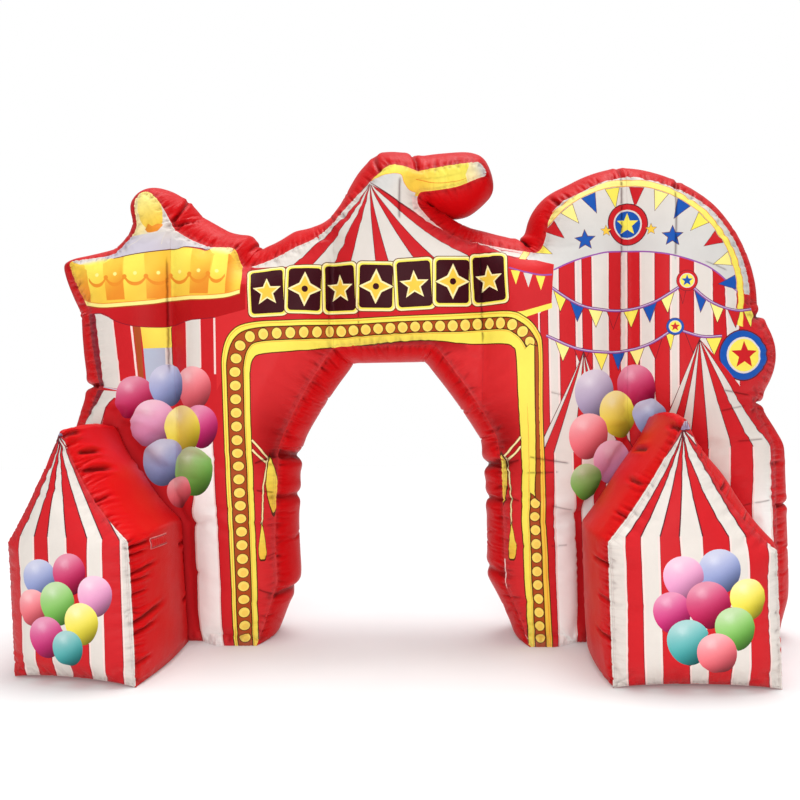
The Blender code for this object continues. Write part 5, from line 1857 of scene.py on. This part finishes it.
    # bump: weave, fine crinkles that are strongest by the seams, stitches
    crinkles = n.noise(place, 17.0, 4.0, 0.62, 0.9)
    fine = n.noise(place, 62.0, 3.0, 0.55, 0.5)
    near = n.span(away, 0.0, 0.11, 1.0, 0.28)
    height = n.maths("MULTIPLY", crinkles, n.maths("MULTIPLY", near, 0.0058 * crinkle))
    height = n.maths("ADD", height, n.maths("MULTIPLY", fine, 0.0007 * crinkle))
    height = n.maths("ADD", height, n.maths("MULTIPLY", ridge, n.maths("MULTIPLY", near_seam, 0.0016 * crinkle)))
    height = n.maths("ADD", height, n.maths("MULTIPLY", weave, 0.00006))
    height = n.maths("SUBTRACT", height, n.maths("MULTIPLY", stitch, 0.0008))
    bump = n.add("ShaderNodeBump")
    bump.inputs["Strength"].default_value = 1.0
    bump.inputs["Distance"].default_value = 1.0
    n.plug(bump.inputs["Height"], height)
    n.plug(n.shader.inputs["Normal"], bump.outputs[0])
    return n.material


def floor_material():
    n = Nodes("studio_floor")
    place = n.add("ShaderNodeTexCoord").outputs["Object"]
    tone = n.span(n.noise(place, 1.2, 2.0, 0.5), 0.3, 0.7, 0.66, 0.69)
    grey = n.add("ShaderNodeCombineColor")
    for k in range(3):
        n.plug(grey.inputs[k], tone)
    n.plug(n.shader.inputs["Base Color"], grey.outputs[0])
    n.shader.inputs["Roughness"].default_value = 0.9
    n.shader.inputs["Specular IOR Level"].default_value = 0.1
    n.shader.inputs["Emission Color"].default_value = (1.0, 1.0, 1.0, 1.0)
    n.shader.inputs["Emission Strength"].default_value = 0.13
    return n.material


# ------------------------------------------------------------ camera
def make_camera():
    """The photograph's viewpoint: eye height 1.5 m, a little to the right of the middle."""
    yaw, pitch, roll = math.radians(3.922), math.radians(0.208), math.radians(0.789)
    ahead = Vector((-math.sin(yaw) * math.cos(pitch), math.cos(yaw) * math.cos(pitch), math.sin(pitch)))
    right = Vector((math.cos(yaw), math.sin(yaw), 0.0))
    up = right.cross(ahead)
    across = math.cos(roll) * right - math.sin(roll) * up
    above = math.sin(roll) * right + math.cos(roll) * up
    data = bpy.data.cameras.new("camera")
    data.sensor_width, data.lens = 36.0, 41.233
    camera = bpy.data.objects.new("camera", data)
    bpy.context.scene.collection.objects.link(camera)
    camera.matrix_world = Matrix((
        (across.x, above.x, -ahead.x, 0.315 + SHIFT_X),
        (across.y, above.y, -ahead.y, -5.759 + SHIFT_Y),
        (across.z, above.z, -ahead.z, 1.500),
        (0.0, 0.0, 0.0, 1.0)))
    bpy.context.scene.camera = camera


def make_light(name, kind, place, aim, power, size, colour=(1.0, 1.0, 1.0)):
    data = bpy.data.lights.new(name, kind)
    data.energy, data.color = power, colour
    if kind == "SUN":
        data.angle = size
    else:
        data.shape, data.size, data.size_y = "RECTANGLE", size[0], size[1]
    ob = bpy.data.objects.new(name, data)
    ob.visible_camera = False
    ob.location = place
    ob.rotation_euler = (Vector(aim) - Vector(place)).to_track_quat("-Z", "Y").to_euler()
    bpy.context.scene.collection.objects.link(ob)


def make_stage():
    """A pale floor, a white surround and soft light."""
    mesh = bpy.data.meshes.new("floor")
    size, cells = 16.0, 16
    verts = [((i / cells - 0.5) * size * 2, (j / cells - 0.5) * size * 2, -0.0015)
             for j in range(cells + 1) for i in range(cells + 1)]
    row = cells + 1
    faces = [(j * row + i, j * row + i + 1, (j + 1) * row + i + 1, (j + 1) * row + i)
             for j in range(cells) for i in range(cells)]
    mesh.from_pydata(verts, [], faces)
    mesh.materials.append(floor_material())
    floor = bpy.data.objects.new("floor", mesh)
    bpy.context.scene.collection.objects.link(floor)
    world = bpy.data.worlds.new("surround")
    bpy.context.scene.world = world
    world.use_nodes = True
    # the surround shows as plain white, and lights the object more softly than it shows
    tree = world.node_tree
    background = tree.nodes["Background"]
    background.inputs[0].default_value = (1.0, 1.0, 1.0, 1.0)
    path = tree.nodes.new("ShaderNodeLightPath")
    where = tree.nodes.new("ShaderNodeTexCoord")
    parts = tree.nodes.new("ShaderNodeSeparateXYZ")
    tree.links.new(where.outputs["Generated"], parts.inputs[0])
    sky = tree.nodes.new("ShaderNodeMapRange")
    tree.links.new(parts.outputs[2], sky.inputs[0])
    sky.inputs[3].default_value, sky.inputs[4].default_value = 0.14, 0.98
    strength = tree.nodes.new("ShaderNodeMapRange")
    tree.links.new(path.outputs["Is Camera Ray"], strength.inputs[0])
    tree.links.new(sky.outputs[0], strength.inputs[3])
    strength.inputs[4].default_value = 1.0
    tree.links.new(strength.outputs[0], background.inputs[1])
    make_light("key", "AREA", (0.1, -7.4, 3.8), (0.0, 0.0, 1.3), 128.0, (2.6, 1.8))
    make_light("fill", "AREA", (0.3, -9.6, 1.6), (0.0, 0.0, 1.3), 205.0, (3.4, 2.0))
    make_light("top", "SUN", (0.6, 1.0, 7.0), (0.0, 0.0, 1.0), 2.3, 0.60)
    bpy.context.scene.view_settings.view_transform = "Standard"


# ------------------------------------------------------------ the arch
print_cloth = cloth_material("printed_cloth", baffles=ARCH_BAFFLES, shine=0.42)
red_cloth = cloth_material("red_cloth", ink=(205, 10, 16), thread=(0.32, 0.008, 0.012), shine=0.38)
back_cloth = cloth_material("red_back_cloth", ink=(205, 10, 16), thread=(0.32, 0.008, 0.012),
                            baffles=ARCH_BAFFLES, shine=0.40)
tent_cloth = cloth_material("printed_tent_cloth", shine=0.42)
patch_cloth = cloth_material("patch_cloth", ink=(210, 22, 28), thread=(0.80, 0.30, 0.30), shine=0.44,
                             rub=0.60, rub_reach=0.011)


def make_arch():
    seam, belly = soften(*trace(ARCH_OUTLINE, SEAM_STEP), 2, 7)
    lines = [baffle_points(b, seam) for b in ARCH_BAFFLES]
    body = Body(seam, belly, [(0.013, 0.013), (0.028, 0.016), (0.046, 0.020), (0.068, 0.024)],
                [(0.085, 0.028)], [(0.014, 0.018), (0.034, 0.026)], [(0.055, 0.040)], lines)
    front, back = Membrane(seam, ARCH_BAFFLES, FRONT_CROWN), Membrane(seam, ARCH_BAFFLES, BACK_CROWN)
    form = Form("arch", body,
                lambda f: -front_depth(f, front, edge_distance(f, seam[::2])),
                lambda f: ARCH_DEPTH + back.height(f, edge_distance(f, seam[::2])),
                strip_levels(GUSSET_LEVELS))
    form.crease(0.009, 5, front=0.7, folds=ARCH_FOLDS, calm=ARCH_CALM)
    pins = np.zeros(len(form.verts))
    pins[form.rings[0]] = pins[form.rings[-1]] = 0.9
    pins[form.verts[:, 2] < 0.004] = 1.0
    pressed = np.zeros(form.nf, bool)
    for tent in TENTS:
        pressed |= inside(form.front_flat, tent_shape(tent, PRESS_MARGIN * 0.6))
    pins[:form.nf][pressed] = 1.0
    tethers, k = [], form.n
    for line in lines:
        for _ in line:
            tethers.append((int(form.front_where[k]), int(form.back_where[k]) + form.base))
            k += 1
    stamp("arch form")
    start = form.verts.copy()
    form.verts, _ = settle(form, pins, tethers, frames=12)
    keep_outline(form, start, 0.9)
    form.sharpen(ARCH_FOLDS, 0.72, 0.42, 55.0)
    stamp("arch settled")
    body_ob = body_piece("arch_body", form, red_cloth)
    back_ob = back_piece("arch_back_cloth", form, back_cloth)
    front_ob = print_piece("arch_front_print", arch_print(), form, Sight(form), print_cloth,
                           (0.006, 0.013, 0.021, 0.031, 0.044, 0.060), tight=1.5, creases=ARCH_CREASES)
    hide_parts("arch_chamber")
    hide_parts("arch_back_panel")
    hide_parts("arch_front_panel")
    stamp("arch made")


# ------------------------------------------------------------ the tents
def tent_stand_off(tent, x):
    t = (x - tent.x_left) / (tent.x_right - tent.x_left)
    return tent.out_left + (tent.out_right - tent.out_left) * t


TENT_BACK = -0.0228      # plane where the tents rest on the arch
TENT_LEVELS = 34


def make_tent(tent):
    side = "tent_" + tent.side
    seam, belly = soften(*trace(tent_outline(tent), 0.0100), 1, 5)
    body = Body(seam, belly, [(0.011, 0.011), (0.024, 0.014), (0.040, 0.018)], [(0.056, 0.024)],
                [(0.020, 0.024)], [(0.050, 0.050)])
    skin = Membrane(seam, (), TENT_CROWN, cell=0.010)
    form = Form(side, body,
                lambda f: -tent_stand_off(tent, f[:, 0]) - skin.height(f, edge_distance(f, seam)),
                lambda f: np.full(len(f), TENT_BACK), strip_levels(TENT_LEVELS))
    form.crease(0.0085, 21 if tent.side == "left" else 33, front=0.5, back=0.0, folds=TENT_FOLDS[tent.side], dark=72.0,
                fine=dict(spacing=(0.020, 0.046), width=(0.0045, 0.0078), reach=(0.04, 0.17)))
    pins = np.zeros(len(form.verts))
    pins[form.rings[0]] = 0.75
    pins[form.base:] = 1.0
    pins[form.rings[-1]] = 1.0
    pins[form.rings[-2]] = 0.8
    pins[form.verts[:, 2] < 0.004] = 1.0
    start = form.verts.copy()
    form.verts, _ = settle(form, pins, frames=12, pressure=38.0, slack=0.030, tension=60.0,
                           bending=0.12, cap=0.030)
    keep_outline(form, start, 0.85)
    form.sharpen(TENT_FOLDS[tent.side], 0.75, 0.38, 50.0)
    # the front's hem lifts a little between its corners
    lift = form.verts[:, 2] * 0.0
    low = form.verts[:, 2] < 0.16
    t = np.clip((form.verts[:, 0] - tent.x_left) / (tent.x_right - tent.x_left), 0.0, 1.0)
    fore = np.clip((-form.verts[:, 1] - tent_stand_off(tent, form.verts[:, 0]) + 0.12) / 0.12, 0.0, 1.0)
    lift[low] = 0.026 * (4.0 * t[low] * (1.0 - t[low])) ** 0.8 * fore[low] ** 2 * (1.0 - form.verts[low, 2] / 0.16)
    form.verts[:, 2] += lift
    form.verts[:, 1] = np.minimum(form.verts[:, 1], TENT_BACK)
    body_ob = body_piece(side + "_body", form, red_cloth, 0.0085)
    slope = (tent.out_right - tent.out_left) / (tent.x_right - tent.x_left)
    sight = Sight(form, tent.x_left, -tent.out_left, slope)
    front_ob = print_piece(side + "_print", tent_print(tent.side), form, sight, tent_cloth,
                           (0.006, 0.012, 0.019, 0.027, 0.037, 0.050, 0.066), tight=2.6, depth=0.0085)
    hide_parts("tent_%s_chamber" % tent.side)
    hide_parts("tent_%s_front_panel" % tent.side)
    stamp(side + " made")
    return form


# ------------------------------------------------------------ the patch
def make_patch(form):
    """A small long cloth sewn on the inner wall of the left tent."""
    low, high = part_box("tent_left_patch")
    mid_y, mid_z = (low.y + high.y) / 2 - SHIFT_Y, (low.z + high.z) / 2
    run, rise, cells = (high.y - low.y) / 2, (high.z - low.z) / 2, 30
    tree = BVHTree.FromPolygons([Vector(v) for v in form.verts], [tuple(int(i) for i in t) for t in form.tris])
    verts, cloth, rim, down = [], [], [], []
    for j in range(cells + 1):
        for i in range(cells + 1):
            u, v = i / cells * 2 - 1, j / cells * 2 - 1
            hit, normal, _, _ = tree.ray_cast(Vector((0.5, mid_y + u * run, mid_z + v * rise)), Vector((-1, 0, 0)))
            edge = min((1.0 - abs(u)) * run, (1.0 - abs(v)) * rise)
            puff = 0.0022 + 0.0050 * math.sin(min(1.0, edge / 0.016) * math.pi / 2)
            groove = 0.0026 * math.exp(-((edge - 0.0075) / 0.0030) ** 2)
            ripple = 0.0009 * math.sin(u * 23.0 + 1.3 * v)
            # painted shade: the stitched groove round the patch's border is darkened through the hollow attribute
            down.append(0.9 * math.exp(-((edge - 0.0075) / 0.0030) ** 2))
            verts.append((hit.x + puff - groove + ripple, hit.y, hit.z))
            cloth.append((hit.y, hit.z))
            rim.append((u * run if abs(v) > abs(u) else v * rise, edge))
    row = cells + 1
    top = [(j * row + i, j * row + i + 1, (j + 1) * row + i + 1, (j + 1) * row + i)
           for j in range(cells) for i in range(cells)]
    n = len(verts)
    verts += [(x - 0.0018, y, z) for x, y, z in verts]
    faces = top + [(d + n, c + n, b + n, a + n) for a, b, c, d in top]
    border = [i for i in range(row)] + [j * row + cells for j in range(1, row)] \
        + [cells * row + i for i in range(cells - 1, -1, -1)] + [j * row for j in range(cells - 1, 0, -1)]
    for a, b in zip(border, border[1:] + border[:1]):
        faces.append((a, a + n, b + n, b))
    cloth, rim = cloth + cloth, rim + rim
    ob = make_piece("tent_left_patch_cloth", verts, faces, [cloth[i] for f in faces for i in f],
                    [rim[i] for f in faces for i in f], patch_cloth, hollow=np.array(down + down))
    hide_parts("tent_left_patch")


make_camera()
make_arch()
tents = [make_tent(tent) for tent in TENTS]
make_patch(tents[0])
make_stage()
